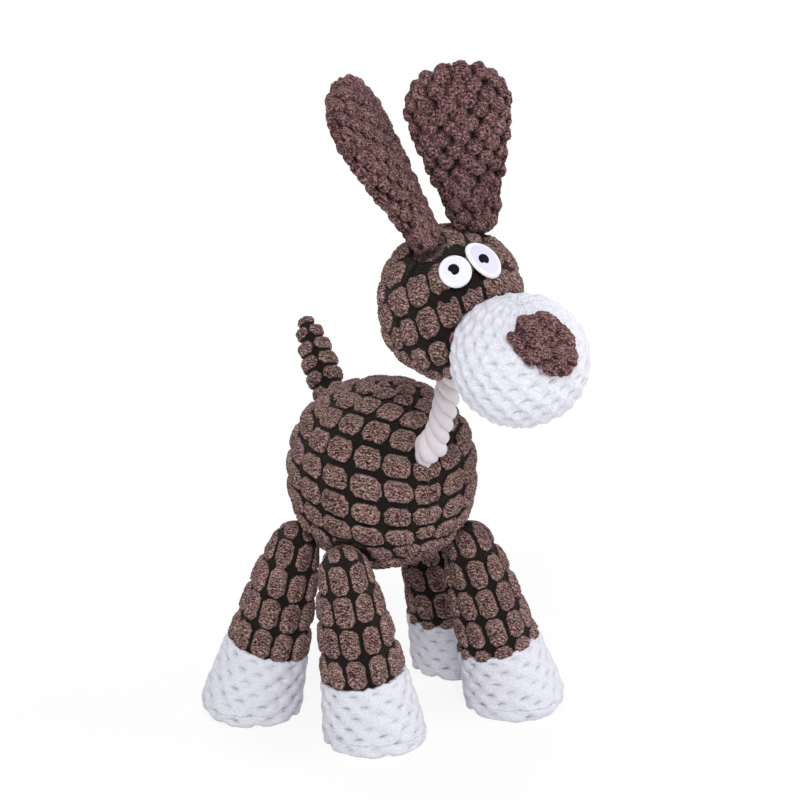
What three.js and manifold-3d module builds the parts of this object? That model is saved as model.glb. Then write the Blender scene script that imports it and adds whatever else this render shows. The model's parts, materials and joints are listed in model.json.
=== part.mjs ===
// A plush squeaky dog toy: a donkey standing on four stuffed legs, with a rope neck.
// Millimetres, +Z up. The toy faces -Y and its own left side is +X.
// Every stuffed piece is a cover, sewn from separate panels, over its own filling.

import * as THREE from "three";
import { mergeVertices } from "three/addons/utils/BufferGeometryUtils.js";
import Module from "manifold-3d";

const wasm = await Module();
wasm.setup();
const rad = THREE.MathUtils.degToRad;
const vec = (x, y, z) => new THREE.Vector3(x, y, z);
const upward = vec(0, 0, 1);

// Driving dimensions

const fabric = {
  wall: 3.2, // backing cloth and pressed pile
  fit: 0.35, // between pieces that lie on each other
  turnFit: 0.55, // between pieces that turn in each other
};
const overrun = 6; // how far a cutting tool runs past what it cuts
const weld = 1e-4; // points closer than this are one point

const torso = { halfWidth: 46.5, halfDepth: 45, halfHeight: 47.5, squareness: 2.25 };

// The pile stands on its backing cloth in tufts. On the torso they are modelled: a column of
// them lies on the seam between the two side panels, and a row runs round the middle.
const tuft = {
  length: 16.2, // along a row, from groove to groove
  width: 12.1,
  rise: 2.4, // from the grooves out to the torso's skin
  slope: 1.6, // by which its foot is broader than its top, all round
  crown: 0.3, // of its top over its corners
  dipShare: 0.18, // how far the rows sink on their way to the chest
  narrowShares: { row: 0.22, column: 0.12 }, // how the cloth gathers towards the seam, per radian
};

const hip = {
  frontAzimuth: 56, // degrees from straight ahead
  rearAzimuth: 118,
  drop: 41, // degrees below the torso's middle
  standoff: 9.4, // from the torso's skin out to the pivot
};

const leg = {
  topRadius: 13.6, // the domed top, which rests in a dimple of the torso
  thighRadius: 17.2,
  thighAt: 24, // from the pivot
  cuffRadius: 21,
  cuffRise: 40, // from the sole up to where the brown sleeve meets the white foot
  footRadius: 23.8,
  footRise: 15.5, // from the sole up to the foot's broadest place
  soleRadius: 19.5,
  soleEdge: 7, // height of the foot's rounded lower edge
  length: 95.5,
  press: 2.2, // the least that a sole is flattened by the floor
  solePanel: 6, // height above the floor where the side panel meets the sole panel
};

// Each foot's step from its hip: `out` to its own side, `ahead` towards the head.
const stance = {
  front_right: { side: -1, azimuth: hip.frontAzimuth, out: -15, ahead: 6 },
  front_left: { side: 1, azimuth: hip.frontAzimuth, out: 26, ahead: 8 },
  rear_right: { side: -1, azimuth: hip.rearAzimuth, out: 21, ahead: -14 },
  rear_left: { side: 1, azimuth: hip.rearAzimuth, out: 29, ahead: -8 },
};

const tail = {
  elevation: 36, // degrees above the torso's middle
  azimuth: 173, // degrees from straight ahead, round the toy's right side
  standoff: 4.5,
  lean: 36, // degrees back from straight up
  rootRadius: 9.4,
  bellyRadius: 10.2,
  bellyAt: 14,
  tipRadius: 6.4,
  length: 45,
};

const rope = {
  radius: 6.2,
  play: 0.6, // round the rope in each hole
  knotRadius: 8.8,
  knotLength: 12,
  buried: 12.5, // from a hole's mouth in to the middle of the knot
  rootElevation: 26, // degrees above the torso's middle
  rootLean: 45, // degrees up from straight ahead, where the rope leaves the torso
  swing: 20, // degrees that the buried end can swing each way
  swingBias: -5, // degrees that this room leans up from the rope's own line
  aside: -1.6, // the rope's upper mouth, from its lower one, to the toy's right
  reach: 16.8, // ahead
  rise: 43.4, // and up
};

const head = {
  halfWidth: 34,
  halfDepth: 32,
  halfHeight: 36.5,
  squareness: 2.25,
  pitch: 14, // degrees, nose down
  roll: -8, // degrees, its left side up
  yaw: 4, // degrees towards its own left
  mouthBack: -2, // the rope's hole, behind the lowest point
};

const muzzle = {
  halfWidth: 31.5,
  halfDepth: 31.5,
  halfHeight: 30,
  squareness: 2.15,
  ahead: 51, // from the head's middle
  down: 6.5,
};

const nose = { halfWidth: 17, halfHeight: 15.5, azimuth: -13, elevation: 40, thickness: 3.4 };

const eye = {
  whiteThickness: 1.1,
  pupilThickness: 0.8,
  pupilRadius: 2.3,
  right: { azimuth: -34, elevation: 49, halfWidth: 7.4, halfHeight: 7.6, turn: 0 },
  left: { azimuth: 5, elevation: 55, halfWidth: 7.4, halfHeight: 9.2, turn: 0 },
};

const ear = {
  rootHalfWidth: 12.2,
  rootRadius: 7.6,
  waistHalfWidth: 13.5,
  waistAt: 12, // this and the next distances run from the pivot
  broadHalfWidth: 24,
  broadAt: 58,
  length: 82,
  halfThickness: 9,
  film: 0.6, // the crinkle film between its two panels
  filmInset: 6,
  spread: 14.5, // of each root from the middle
  standoff: 3,
  back: 3,
  left: { lean: -13, tilt: 0, yaw: -33 },
  right: { lean: 25, tilt: -18, yaw: 45 },
};

const squeaker = {
  radius: 17,
  halfHeight: 10,
  wall: 1.1,
  neckRadius: 6.4,
  neckHeight: 6,
  reedRadius: 4.6,
  reedLength: 9,
  flangeRadius: 6.4,
  flangeHeight: 1.6,
  airway: 1.4,
  play: 0.4, // round the bulb in the filling
  channelRadius: 6, // the way in, which the closing seam leaves through the filling
  back: 7, // behind the torso's middle
};

// How finely the rounded forms are faceted.
const torsoDetail = 4;
const clothRounds = 8; // to find a place on a gathered cloth
const headDetail = 4;
const muzzleDetail = 3;
const dimpleDetail = 2;
const limbSides = 12;
const smallSides = 10;
const domeSteps = 3;

// Materials

const material = (color, roughness) =>
  new THREE.MeshStandardMaterial({ color, roughness, metalness: 0 });
const brownPlush = material(0x8b6e67, 0.95);
const darkPlush = material(0x6b4c49, 0.95);
const whitePlush = material(0xe8e8ee, 0.95);
const polyFilling = material(0xf2f0ea, 1);
const cottonRope = material(0xdcd6d6, 0.9);
const whiteThread = material(0xdfe0f2, 0.6);
const blackThread = material(0x1b1a22, 0.5);
const crinkleFilm = material(0xc9ccd2, 0.35);
const bulbPlastic = material(0xe6e2d6, 0.45);
const reedPlastic = material(0xf4f4f4, 0.4);

// Working with solids

function solidOf(geometry) {
  const bare = new THREE.BufferGeometry();
  bare.setAttribute("position", geometry.getAttribute("position"));
  if (geometry.index) bare.setIndex(geometry.index);
  const merged = mergeVertices(bare, weld);
  return new wasm.Manifold(
    new wasm.Mesh({
      numProp: 3,
      vertProperties: new Float32Array(merged.attributes.position.array),
      triVerts: new Uint32Array(merged.index.array),
    }),
  );
}

function meshOf(solid, name, look) {
  const found = solid.getMesh();
  const geometry = new THREE.BufferGeometry();
  geometry.setAttribute("position", new THREE.BufferAttribute(found.vertProperties, 3));
  geometry.setIndex(new THREE.BufferAttribute(found.triVerts, 1));
  geometry.computeVertexNormals();
  const mesh = new THREE.Mesh(geometry, look);
  mesh.name = name;
  return mesh;
}

// Moves every point of a geometry by a function of its place.
function reshape(geometry, move) {
  const places = geometry.getAttribute("position");
  const point = new THREE.Vector3();
  for (let i = 0; i < places.count; i++) {
    point.fromBufferAttribute(places, i);
    move(point);
    places.setXYZ(i, point.x, point.y, point.z);
  }
  return geometry;
}

// Turns a form's +Z to lie along a direction, and moves its origin to a place.
function aimed(geometry, direction, place) {
  const turn = new THREE.Quaternion().setFromUnitVectors(upward, direction);
  return geometry.applyQuaternion(turn).translate(place.x, place.y, place.z);
}

// A form turned round +Z from a list of [radius, height], from its foot up.
function turned(points, sides) {
  const outline = points.map(([radius, height]) => new THREE.Vector2(radius, height));
  return new THREE.LatheGeometry(outline, sides).rotateX(Math.PI / 2);
}

// Points of a quarter arc from the axis out, at the foot of a turned form or at its top.
function quarterArc(radius, middle, top) {
  const points = [];
  for (let i = 0; i <= domeSteps; i++) {
    const angle = ((Math.PI / 2) * i) / domeSteps;
    const across = top ? Math.cos(angle) : Math.sin(angle);
    const along = top ? Math.sin(angle) : -Math.cos(angle);
    points.push([radius * across, middle + radius * along]);
  }
  points[top ? domeSteps : 0][0] = 0;
  return points;
}

// How far a stuffed ball's skin lies from its middle along a unit direction.
function skinDistance(ball, inset, direction) {
  const p = ball.squareness;
  const term = (part, half) => Math.pow(Math.abs(part) / (half - inset), p);
  const sum =
    term(direction.x, ball.halfWidth) +
    term(direction.y, ball.halfDepth) +
    term(direction.z, ball.halfHeight);
  return Math.pow(sum, -1 / p);
}

// A stuffed ball. A positive inset gives the same form that much further in, with fewer facets.
function ballSolid(ball, inset, detail) {
  const form = new THREE.IcosahedronGeometry(1, inset > 0 ? detail - 1 : detail);
  return solidOf(
    reshape(form, (point) => {
      point.normalize();
      point.multiplyScalar(skinDistance(ball, inset, point));
    }),
  );
}

// Half of space, as a block past the plane through `place` that faces `direction`.
function halfSpace(direction, place, reach) {
  const block = new THREE.BoxGeometry(reach, reach, reach).translate(0, 0, reach / 2);
  return solidOf(aimed(block, direction, place));
}

// The two halves of a cover, sewn together on the plane through `place` facing `direction`.
function sewnHalves(cover, direction, place, reach) {
  const step = fabric.fit / 2;
  return [1, -1].map((side) => {
    const facing = direction.clone().multiplyScalar(side);
    return cover.intersect(halfSpace(facing, place.clone().addScaledVector(facing, step), reach));
  });
}

// Room for a knotted rope end in a filling, with its mouth in the cover at the origin and
// the rope coming out towards +Z.
function knotRoom(extra, swing) {
  const slope = Math.tan(rad(swing));
  const mouth = rope.radius + rope.play + extra;
  const knot = rope.knotRadius + fabric.turnFit + extra;
  const half = rope.knotLength / 2 + fabric.turnFit + extra;
  const floor = rope.buried + half + slope * rope.knotRadius;
  const shoulder = rope.buried - half;
  const out = 2 * fabric.wall + overrun;
  return turned(
    [
      [0, -floor],
      [knot * Math.SQRT1_2 + slope * floor, -floor],
      [knot + slope * rope.buried, -rope.buried],
      [mouth + slope * shoulder, -shoulder],
      [mouth, 0],
      [mouth + slope * out, out],
      [0, out],
    ],
    smallSides,
  );
}

// Places on the torso, from its middle

function torsoPlace(azimuth, elevation, side, standoff) {
  const flat = Math.cos(rad(elevation));
  const direction = vec(
    side * Math.sin(rad(azimuth)) * flat,
    -Math.cos(rad(azimuth)) * flat,
    Math.sin(rad(elevation)),
  );
  return direction.multiplyScalar(skinDistance(torso, 0, direction) + standoff);
}

const hips = {};
const steps = {};
const heights = [];
for (const [name, foot] of Object.entries(stance)) {
  hips[name] = torsoPlace(foot.azimuth, -hip.drop, foot.side, hip.standoff);
  const across = Math.hypot(foot.out, foot.ahead);
  const down = Math.sqrt(leg.length * leg.length - across * across);
  steps[name] = vec(foot.side * foot.out, -foot.ahead, -down).divideScalar(leg.length);
  heights.push(down - hips[name].z);
}
const standingHeight = Math.min(...heights) - leg.press; // of the torso's middle

const tailRoot = torsoPlace(tail.azimuth, tail.elevation, -1, tail.standoff);
const tailAxis = vec(0, Math.sin(rad(tail.lean)), Math.cos(rad(tail.lean)));
const neckRoot = torsoPlace(0, rope.rootElevation, 0, 0);
const leaning = (degrees) => vec(0, -Math.cos(rad(degrees)), Math.sin(rad(degrees)));
const neckAxis = leaning(rope.rootLean);

// Torso: two side panels over a filling that holds the squeaker

// The direction from the torso's middle to a place on a side panel's cloth. `along` runs from
// the panel's middle to the chest and `up` to the back seam, both as shares of the half depth.
function panelDirection(side, along, up) {
  const { row, column } = tuft.narrowShares;
  let [u, v] = [along, up];
  for (let i = 0; i < clothRounds; i++) {
    v = (up - tuft.dipShare * u) / (1 - row * Math.abs(u));
    u = along * (1 - column * Math.abs(v));
  }
  const tilt = Math.hypot(u, v);
  const flat = tilt > 0 ? Math.sin(tilt) / tilt : 1;
  return vec(side * Math.cos(tilt), -flat * u, flat * v);
}

// One side panel's outside, tuft by tuft, closed by a fan to the torso's middle. It runs on
// past the seam, where the caller cuts it.
function tuftedPanel(side) {
  const quarter = (Math.PI / 2) * torso.halfDepth;
  const columns = 2 * Math.ceil(quarter / tuft.length) + 1;
  const rows = Math.ceil(quarter / tuft.width) + 2;
  const corners = [[-1, -1], [1, -1], [1, 1], [-1, 1]];
  const place = (i, j, [across, up], inward, depth) => {
    const direction = panelDirection(
      side,
      (quarter - i * tuft.length - across * (tuft.length / 2 - inward)) / torso.halfDepth,
      (j * tuft.width + up * (tuft.width / 2 - inward)) / torso.halfDepth,
    );
    return direction.multiplyScalar(skinDistance(torso, 0, direction) - depth);
  };
  const groove = (i, j) => corners.map((corner) => place(i, j, corner, 0, tuft.rise));
  const used = (i, j) => groove(i, j).some((point) => side * point.x > -fabric.fit);
  const points = [];
  const middle = vec(0, 0, 0);
  for (let i = -1; i <= columns; i++) {
    for (let j = -rows; j <= rows; j++) {
      if (!used(i, j)) continue;
      const foot = groove(i, j);
      const top = corners.map((corner) => place(i, j, corner, tuft.slope, 0));
      const crown = place(i, j, [0, 0], 0, -tuft.crown);
      for (let k = 0; k < corners.length; k++) {
        const next = (k + 1) % corners.length;
        points.push(foot[k], foot[next], top[next], foot[k], top[next], top[k]);
        points.push(top[k], top[next], crown);
        const [across, up] = [0, 1].map((axis) => (corners[k][axis] + corners[next][axis]) / 2);
        if (!used(i + across, j + up)) points.push(foot[next], foot[k], middle);
      }
    }
  }
  if (side < 0) points.reverse();
  return solidOf(new THREE.BufferGeometry().setFromPoints(points));
}

function dimpled(solid, inset) {
  const cut = (form, radius, place) => {
    const dimple = new THREE.IcosahedronGeometry(radius + fabric.turnFit + inset, dimpleDetail);
    return form.subtract(solidOf(dimple.translate(place.x, place.y, place.z)));
  };
  const hipped = Object.values(hips).reduce((form, hip) => cut(form, leg.topRadius, hip), solid);
  return cut(hipped, tail.rootRadius, tailRoot);
}

function squeakerPocket() {
  const radius = squeaker.radius + squeaker.play;
  const half = squeaker.halfHeight + squeaker.play;
  const neck = squeaker.neckRadius + squeaker.play;
  const top = half + squeaker.neckHeight + squeaker.flangeHeight + squeaker.play;
  const below = torso.halfHeight + overrun;
  const bowl = [];
  for (let i = 0; i <= 2 * domeSteps; i++) {
    const low = Math.asin(squeaker.channelRadius / radius);
    const high = Math.PI - Math.asin(neck / radius);
    const angle = low + ((high - low) * i) / (2 * domeSteps);
    bowl.push([radius * Math.sin(angle), -half * Math.cos(angle)]);
  }
  const channel = squeaker.channelRadius;
  return turned([[0, -below], [channel, -below], ...bowl, [neck, top], [0, top]], smallSides);
}

function torsoPieces() {
  const roomAxis = leaning(rope.rootLean + rope.swingBias);
  const room = solidOf(aimed(knotRoom(0, rope.swing), roomAxis, neckRoot));
  const stuffed = (inset) => dimpled(ballSolid(torso, inset, torsoDetail), inset);
  const hollow = stuffed(fabric.wall).add(room);
  const [left, right] = [1, -1].map((side) => {
    const seam = halfSpace(vec(side, 0, 0), vec((side * fabric.fit) / 2, 0, 0), 4 * torso.halfHeight);
    return dimpled(tuftedPanel(side).intersect(seam), 0).subtract(hollow);
  });
  const pocket = solidOf(squeakerPocket().translate(0, squeaker.back, 0));
  const fill = stuffed(fabric.wall + fabric.fit).subtract(room).subtract(pocket);
  return [
    meshOf(left, "torso_cover_left", brownPlush),
    meshOf(right, "torso_cover_right", brownPlush),
    meshOf(fill, "torso_fill", polyFilling),
  ];
}

// Squeaker: a blown bulb with a reed pushed into its neck

function bulbSolid() {
  const { radius, halfHeight, wall, neckRadius, neckHeight, reedRadius } = squeaker;
  const bore = reedRadius + fabric.fit;
  const lip = halfHeight + neckHeight;
  const bowl = (r, h, start) => {
    const points = [];
    for (let i = 0; i <= 2 * domeSteps; i++) {
      const angle = ((Math.PI - Math.asin(start / r)) * i) / (2 * domeSteps);
      points.push([i ? r * Math.sin(angle) : 0, -h * Math.cos(angle)]);
    }
    return points;
  };
  const outside = turned(
    [...bowl(radius, halfHeight, neckRadius), [neckRadius, lip], [0, lip]],
    smallSides,
  );
  const inside = turned(
    [...bowl(radius - wall, halfHeight - wall, bore), [bore, lip + overrun], [0, lip + overrun]],
    smallSides,
  );
  return solidOf(outside).subtract(solidOf(inside));
}

function reedSolid() {
  const { reedRadius, reedLength, flangeRadius, flangeHeight, airway } = squeaker;
  const ring = [
    [airway, -reedLength],
    [reedRadius, -reedLength],
    [reedRadius, 0],
    [flangeRadius, 0],
    [flangeRadius, flangeHeight],
    [airway, flangeHeight],
  ];
  return solidOf(turned([...ring, ring[0]], smallSides));
}

// Legs: a brown sleeve, a white foot and its sole round one filling, with the pivot as origin

function legSolid(step, inset, floor) {
  const foot = leg.length - inset;
  const edge = leg.soleEdge / 2;
  const outline = [
    [0, foot],
    [leg.soleRadius - inset, foot],
    [(leg.soleRadius + leg.footRadius) / 2 + edge / 2 - inset, foot - edge],
    [leg.footRadius - inset, leg.length - leg.footRise],
    [leg.cuffRadius - inset, leg.length - leg.cuffRise],
    [leg.thighRadius - inset, leg.thighAt],
    ...quarterArc(leg.topRadius - inset, 0, false).reverse(),
  ].reverse();
  const form = aimed(turned(outline, limbSides), step, vec(0, 0, 0));
  return solidOf(
    reshape(form, (point) => {
      point.z = Math.max(point.z, floor + inset); // the sole is pressed flat on the floor
    }),
  );
}

function legPieces(name) {
  const step = steps[name];
  const floor = -standingHeight - hips[name].z;
  const reach = 2 * leg.length;
  const half = fabric.fit / 2;
  const past = (distance) => halfSpace(step, step.clone().multiplyScalar(distance), reach);
  const skin = legSolid(step, 0, floor).subtract(legSolid(step, fabric.wall, floor));
  const cuffAt = leg.length - leg.cuffRise;
  const foot = skin.intersect(past(cuffAt + half));
  const under = (height) => halfSpace(upward.clone().negate(), vec(0, 0, floor + height), reach);
  return [
    meshOf(skin.subtract(past(cuffAt - half)), `leg_sleeve_${name}`, brownPlush),
    meshOf(foot.subtract(under(leg.solePanel + half)), `foot_cover_${name}`, whitePlush),
    meshOf(foot.intersect(under(leg.solePanel - half)), `foot_sole_${name}`, whitePlush),
    meshOf(legSolid(step, fabric.wall + fabric.fit, floor), `leg_fill_${name}`, polyFilling),
  ];
}

// Tail, with its root's middle as origin

function tailSolid(inset) {
  const outline = [
    ...quarterArc(tail.rootRadius - inset, 0, false),
    [tail.bellyRadius - inset, tail.bellyAt],
    ...quarterArc(tail.tipRadius - inset, tail.length - tail.tipRadius, true),
  ];
  return solidOf(aimed(turned(outline, smallSides), tailAxis, vec(0, 0, 0)));
}

function tailPieces() {
  const cover = tailSolid(0).subtract(tailSolid(fabric.wall));
  const [left, right] = sewnHalves(cover, vec(1, 0, 0), vec(0, 0, 0), 3 * tail.length);
  return [
    meshOf(left, "tail_cover_left", brownPlush),
    meshOf(right, "tail_cover_right", brownPlush),
    meshOf(tailSolid(fabric.wall + fabric.fit), "tail_fill", polyFilling),
  ];
}

// Head, in its own frame: +Z to the crown, -Y to the muzzle

// The height of a ball's skin above its middle, over a place in its middle plane.
function ballHeight(ball, x, y) {
  const p = ball.squareness;
  const used = Math.pow(Math.abs(x) / ball.halfWidth, p) + Math.pow(Math.abs(y) / ball.halfDepth, p);
  return ball.halfHeight * Math.pow(1 - used, 1 / p);
}

const headTurn = new THREE.Euler(rad(head.pitch), rad(head.roll), rad(head.yaw), "ZYX");
const headMouth = vec(0, head.mouthBack, -ballHeight(head, 0, head.mouthBack));
const neckTop = neckRoot.clone().add(vec(-rope.aside, -rope.reach, rope.rise));
const neckTopAxis = upward.clone().applyEuler(headTurn);
const muzzleMiddle = vec(0, -muzzle.ahead, -muzzle.down);

const headBall = (inset) => ballSolid(head, inset, headDetail);
const muzzleBall = (inset) =>
  ballSolid(muzzle, inset, muzzleDetail).translate(muzzleMiddle.toArray());

function facing(azimuth, elevation) {
  const flat = Math.cos(rad(elevation));
  return vec(
    Math.sin(rad(azimuth)) * flat,
    -Math.cos(rad(azimuth)) * flat,
    Math.sin(rad(elevation)),
  );
}

// An oval bar from `middle` along `direction`, which cuts a patch out of a skin. Its width
// stays level and `turn` tips its top towards the toy's left.
function ovalBar(halfWidth, halfHeight, turn, direction, middle, reach) {
  const bar = new THREE.CylinderGeometry(1, 1, reach, smallSides + domeSteps)
    .rotateX(Math.PI / 2)
    .translate(0, 0, reach / 2)
    .scale(halfWidth, halfHeight, 1)
    .rotateZ(-rad(turn));
  const across = upward.clone().cross(direction).normalize();
  const over = direction.clone().cross(across);
  const frame = new THREE.Matrix4().makeBasis(across, over, direction).setPosition(middle);
  return solidOf(bar.applyMatrix4(frame));
}

// A patch on a ball's skin, from `low` to `high` outside it, where the bar meets it.
const patch = (ball, bar, low, high) => ball(-high).subtract(ball(-low)).intersect(bar);

// An ear's frame: the pivot as origin, +Z to its tip, X across it and -Y out of its face.
function earFrame(side) {
  const pose = side > 0 ? ear.left : ear.right;
  const place = vec(side * ear.spread, ear.back, 0);
  place.z = ballHeight(head, ear.spread, ear.back) + ear.standoff;
  const turn = new THREE.Euler(rad(pose.tilt), rad(side * pose.lean), rad(pose.yaw), "YXZ");
  return new THREE.Matrix4().makeRotationFromEuler(turn).setPosition(place);
}

// What the head is cut by, so that each ear's rounded root has a socket to turn in.
function earSocket(side, extra) {
  const grow = fabric.turnFit + extra;
  const round = ear.rootRadius + grow;
  const form = new THREE.IcosahedronGeometry(1, dimpleDetail);
  return solidOf(form.scale(ear.rootHalfWidth + grow, round, round).applyMatrix4(earFrame(side)));
}

function headPieces() {
  const { wall, fit } = fabric;
  const room = solidOf(aimed(knotRoom(0, 0), upward.clone().negate(), headMouth));
  const socketed = (inset) =>
    headBall(inset).subtract(earSocket(1, inset)).subtract(earSocket(-1, inset));
  const cover = socketed(0).subtract(socketed(wall)).subtract(muzzleBall(0)).subtract(room);
  const reach = 6 * head.halfHeight;
  const [back, front] = sewnHalves(cover, vec(0, 1, 0), vec(0, 0, 0), reach);
  const cup = muzzleBall(0).subtract(muzzleBall(wall)).subtract(headBall(-fit));
  const fill = socketed(wall + fit).add(muzzleBall(wall + fit)).subtract(room);
  const noseBar = ovalBar(
    nose.halfWidth,
    nose.halfHeight,
    0,
    facing(nose.azimuth, nose.elevation),
    muzzleMiddle,
    2 * muzzle.halfDepth,
  );
  const pieces = [
    meshOf(front, "head_cover_front", brownPlush),
    meshOf(back, "head_cover_back", brownPlush),
    meshOf(cup, "muzzle_cover", whitePlush),
    meshOf(fill, "head_fill", polyFilling),
    meshOf(patch(muzzleBall, noseBar, fit, nose.thickness), "nose_patch", darkPlush),
  ];
  for (const side of ["right", "left"]) {
    const look = eye[side];
    const bar = (halfWidth, halfHeight) =>
      ovalBar(
        halfWidth,
        halfHeight,
        look.turn,
        facing(look.azimuth, look.elevation),
        vec(0, 0, 0),
        2 * head.halfDepth,
      );
    const high = fit + eye.whiteThickness;
    const top = high + fit + eye.pupilThickness;
    const white = patch(headBall, bar(look.halfWidth, look.halfHeight), fit, high);
    const pupil = patch(headBall, bar(eye.pupilRadius, eye.pupilRadius), high + fit, top);
    pieces.push(
      meshOf(white, `eye_white_${side}`, whiteThread),
      meshOf(pupil, `eye_pupil_${side}`, blackThread),
    );
  }
  return pieces;
}

// Ears: a face panel and a back panel with crinkle film between them

// Half an ear's outline as [half width, height], from the root up.
function earOutline(inset) {
  const root = quarterArc(ear.rootRadius, 0, false).map(([across, height]) => [
    (across * (ear.rootHalfWidth - inset)) / ear.rootRadius,
    height * (1 - inset / ear.rootRadius),
  ]);
  const tip = ear.length - ear.broadAt - inset;
  const crown = quarterArc(1, 0, true).map(([across, height]) => [
    across * (ear.broadHalfWidth - inset),
    ear.broadAt + height * tip,
  ]);
  const middle = (ear.waistAt + ear.broadAt) / 2;
  const middleHalfWidth = (ear.waistHalfWidth + ear.broadHalfWidth) / 2;
  return [
    ...root,
    [ear.waistHalfWidth - inset, ear.waistAt],
    [middleHalfWidth - inset, middle],
    ...crown,
  ];
}

// A padded leaf: the outline turned, then flattened above its rounded root.
function earSolid() {
  const form = turned(earOutline(0), smallSides + domeSteps);
  return solidOf(
    reshape(form, (point) => {
      const flatRoot = ear.rootRadius / ear.rootHalfWidth;
      const flatBroad = ear.halfThickness / ear.broadHalfWidth;
      const along = THREE.MathUtils.clamp(point.z / ear.broadAt, 0, 1);
      point.y *= THREE.MathUtils.lerp(flatRoot, flatBroad, Math.sqrt(along));
    }),
  );
}

function filmSolid(grow) {
  const half = earOutline(ear.filmInset - grow).filter(([, height]) => height > 0);
  const points = [
    ...half.map(([across, height]) => new THREE.Vector2(across, height)),
    ...half.slice(0, -1).reverse().map(([across, height]) => new THREE.Vector2(-across, height)),
  ];
  const depth = ear.film + 2 * grow;
  const sheet = new THREE.ExtrudeGeometry(new THREE.Shape(points), { depth, bevelEnabled: false });
  return solidOf(sheet.rotateX(Math.PI / 2).translate(0, depth / 2, 0));
}

function earPieces(name) {
  const pad = earSolid().subtract(filmSolid(fabric.fit));
  const [back, face] = sewnHalves(pad, vec(0, 1, 0), vec(0, 0, 0), 3 * ear.length);
  return [
    meshOf(face, `ear_face_${name}`, darkPlush),
    meshOf(back, `ear_back_${name}`, darkPlush),
    meshOf(filmSolid(0), `ear_film_${name}`, crinkleFilm),
  ];
}

// Rope neck, knotted inside the torso and inside the head, with its lower mouth as origin

function knotSolid(place, axis) {
  const half = rope.knotLength / 2;
  const points = [];
  for (let i = 0; i <= 2 * domeSteps; i++) {
    const angle = (Math.PI * i) / (2 * domeSteps);
    const across = i % (2 * domeSteps) ? rope.knotRadius * Math.sin(angle) : 0;
    points.push([across, -half * Math.cos(angle)]);
  }
  return solidOf(aimed(turned(points, smallSides), axis, place));
}

function ropeSolid() {
  const top = neckTop.clone().sub(neckRoot);
  const low = neckAxis.clone().multiplyScalar(-rope.buried);
  const high = top.clone().addScaledVector(neckTopAxis, rope.buried);
  const bow = top.length() / 3;
  const free = new THREE.CubicBezierCurve3(
    vec(0, 0, 0),
    neckAxis.clone().multiplyScalar(bow),
    top.clone().addScaledVector(neckTopAxis, -bow),
    top,
  );
  const route = new THREE.CurvePath();
  route.add(new THREE.LineCurve3(low, vec(0, 0, 0)));
  route.add(free);
  route.add(new THREE.LineCurve3(top, high));
  const section = new THREE.Shape().absarc(0, 0, rope.radius, 0, 2 * Math.PI);
  const tube = new THREE.ExtrudeGeometry(section, {
    extrudePath: route,
    steps: smallSides,
    curveSegments: smallSides / 2,
  });
  return solidOf(tube).add(knotSolid(low, neckAxis)).add(knotSolid(high, neckTopAxis));
}

// The whole toy, one group for each piece that moves

function body(parent, name, place, pieces) {
  const group = new THREE.Group();
  group.name = name;
  group.position.copy(place);
  pieces.forEach((piece) => group.add(piece));
  parent.add(group);
  return group;
}

const toy = new THREE.Group();
const trunk = body(toy, "torso", vec(0, 0, standingHeight), torsoPieces());
for (const name of Object.keys(stance)) {
  body(trunk, `leg_${name}`, hips[name], legPieces(name));
}
body(trunk, "tail", tailRoot, tailPieces());

const bulb = meshOf(bulbSolid(), "squeaker_bulb", bulbPlastic);
const reed = meshOf(reedSolid(), "squeaker_reed", reedPlastic);
const bulbPlace = vec(0, squeaker.back, 0);
const reedPlace = bulbPlace.clone();
reedPlace.z += squeaker.halfHeight + squeaker.neckHeight + fabric.fit;
body(trunk, "squeaker", bulbPlace, [bulb]);
body(trunk, "reed", reedPlace, [reed]);

const neck = body(trunk, "neck", neckRoot, [meshOf(ropeSolid(), "neck_rope", cottonRope)]);
const nodding = body(neck, "head", neckTop.clone().sub(neckRoot), []);
nodding.rotation.copy(headTurn);
const skull = body(nodding, "skull", headMouth.clone().negate(), headPieces());
for (const [name, side] of [["right", -1], ["left", 1]]) {
  const group = body(skull, `ear_${name}`, vec(0, 0, 0), earPieces(name));
  earFrame(side).decompose(group.position, group.quaternion, group.scale);
}

// The origin is on the floor, under the middle of the toy's own box.
toy.updateMatrixWorld(true);
const box = new THREE.Box3().setFromObject(toy, true);
toy.position.set(-(box.min.x + box.max.x) / 2, -(box.min.y + box.max.y) / 2, -box.min.z);

export default toy;
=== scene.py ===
import json
import math
from itertools import product
import bmesh
import bpy
import numpy as np
from mathutils import Matrix, Vector


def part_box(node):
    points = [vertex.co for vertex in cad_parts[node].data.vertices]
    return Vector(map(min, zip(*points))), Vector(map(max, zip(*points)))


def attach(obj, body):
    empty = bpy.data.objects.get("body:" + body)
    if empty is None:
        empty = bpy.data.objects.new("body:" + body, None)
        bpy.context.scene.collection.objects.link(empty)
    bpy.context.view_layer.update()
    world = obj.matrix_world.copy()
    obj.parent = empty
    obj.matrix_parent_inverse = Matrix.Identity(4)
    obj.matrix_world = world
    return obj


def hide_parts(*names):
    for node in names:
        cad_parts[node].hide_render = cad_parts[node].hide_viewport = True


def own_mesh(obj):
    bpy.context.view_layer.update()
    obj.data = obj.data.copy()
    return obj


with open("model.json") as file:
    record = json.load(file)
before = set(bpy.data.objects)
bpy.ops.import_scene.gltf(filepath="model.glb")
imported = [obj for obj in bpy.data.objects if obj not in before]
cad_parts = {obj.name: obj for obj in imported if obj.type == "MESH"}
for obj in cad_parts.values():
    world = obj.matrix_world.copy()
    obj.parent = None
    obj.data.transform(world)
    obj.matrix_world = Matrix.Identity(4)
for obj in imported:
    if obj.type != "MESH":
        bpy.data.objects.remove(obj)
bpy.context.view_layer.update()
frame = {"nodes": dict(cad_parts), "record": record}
joints = {joint["name"]: joint for joint in frame["record"]["behaviour"]["joints"]}
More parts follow.
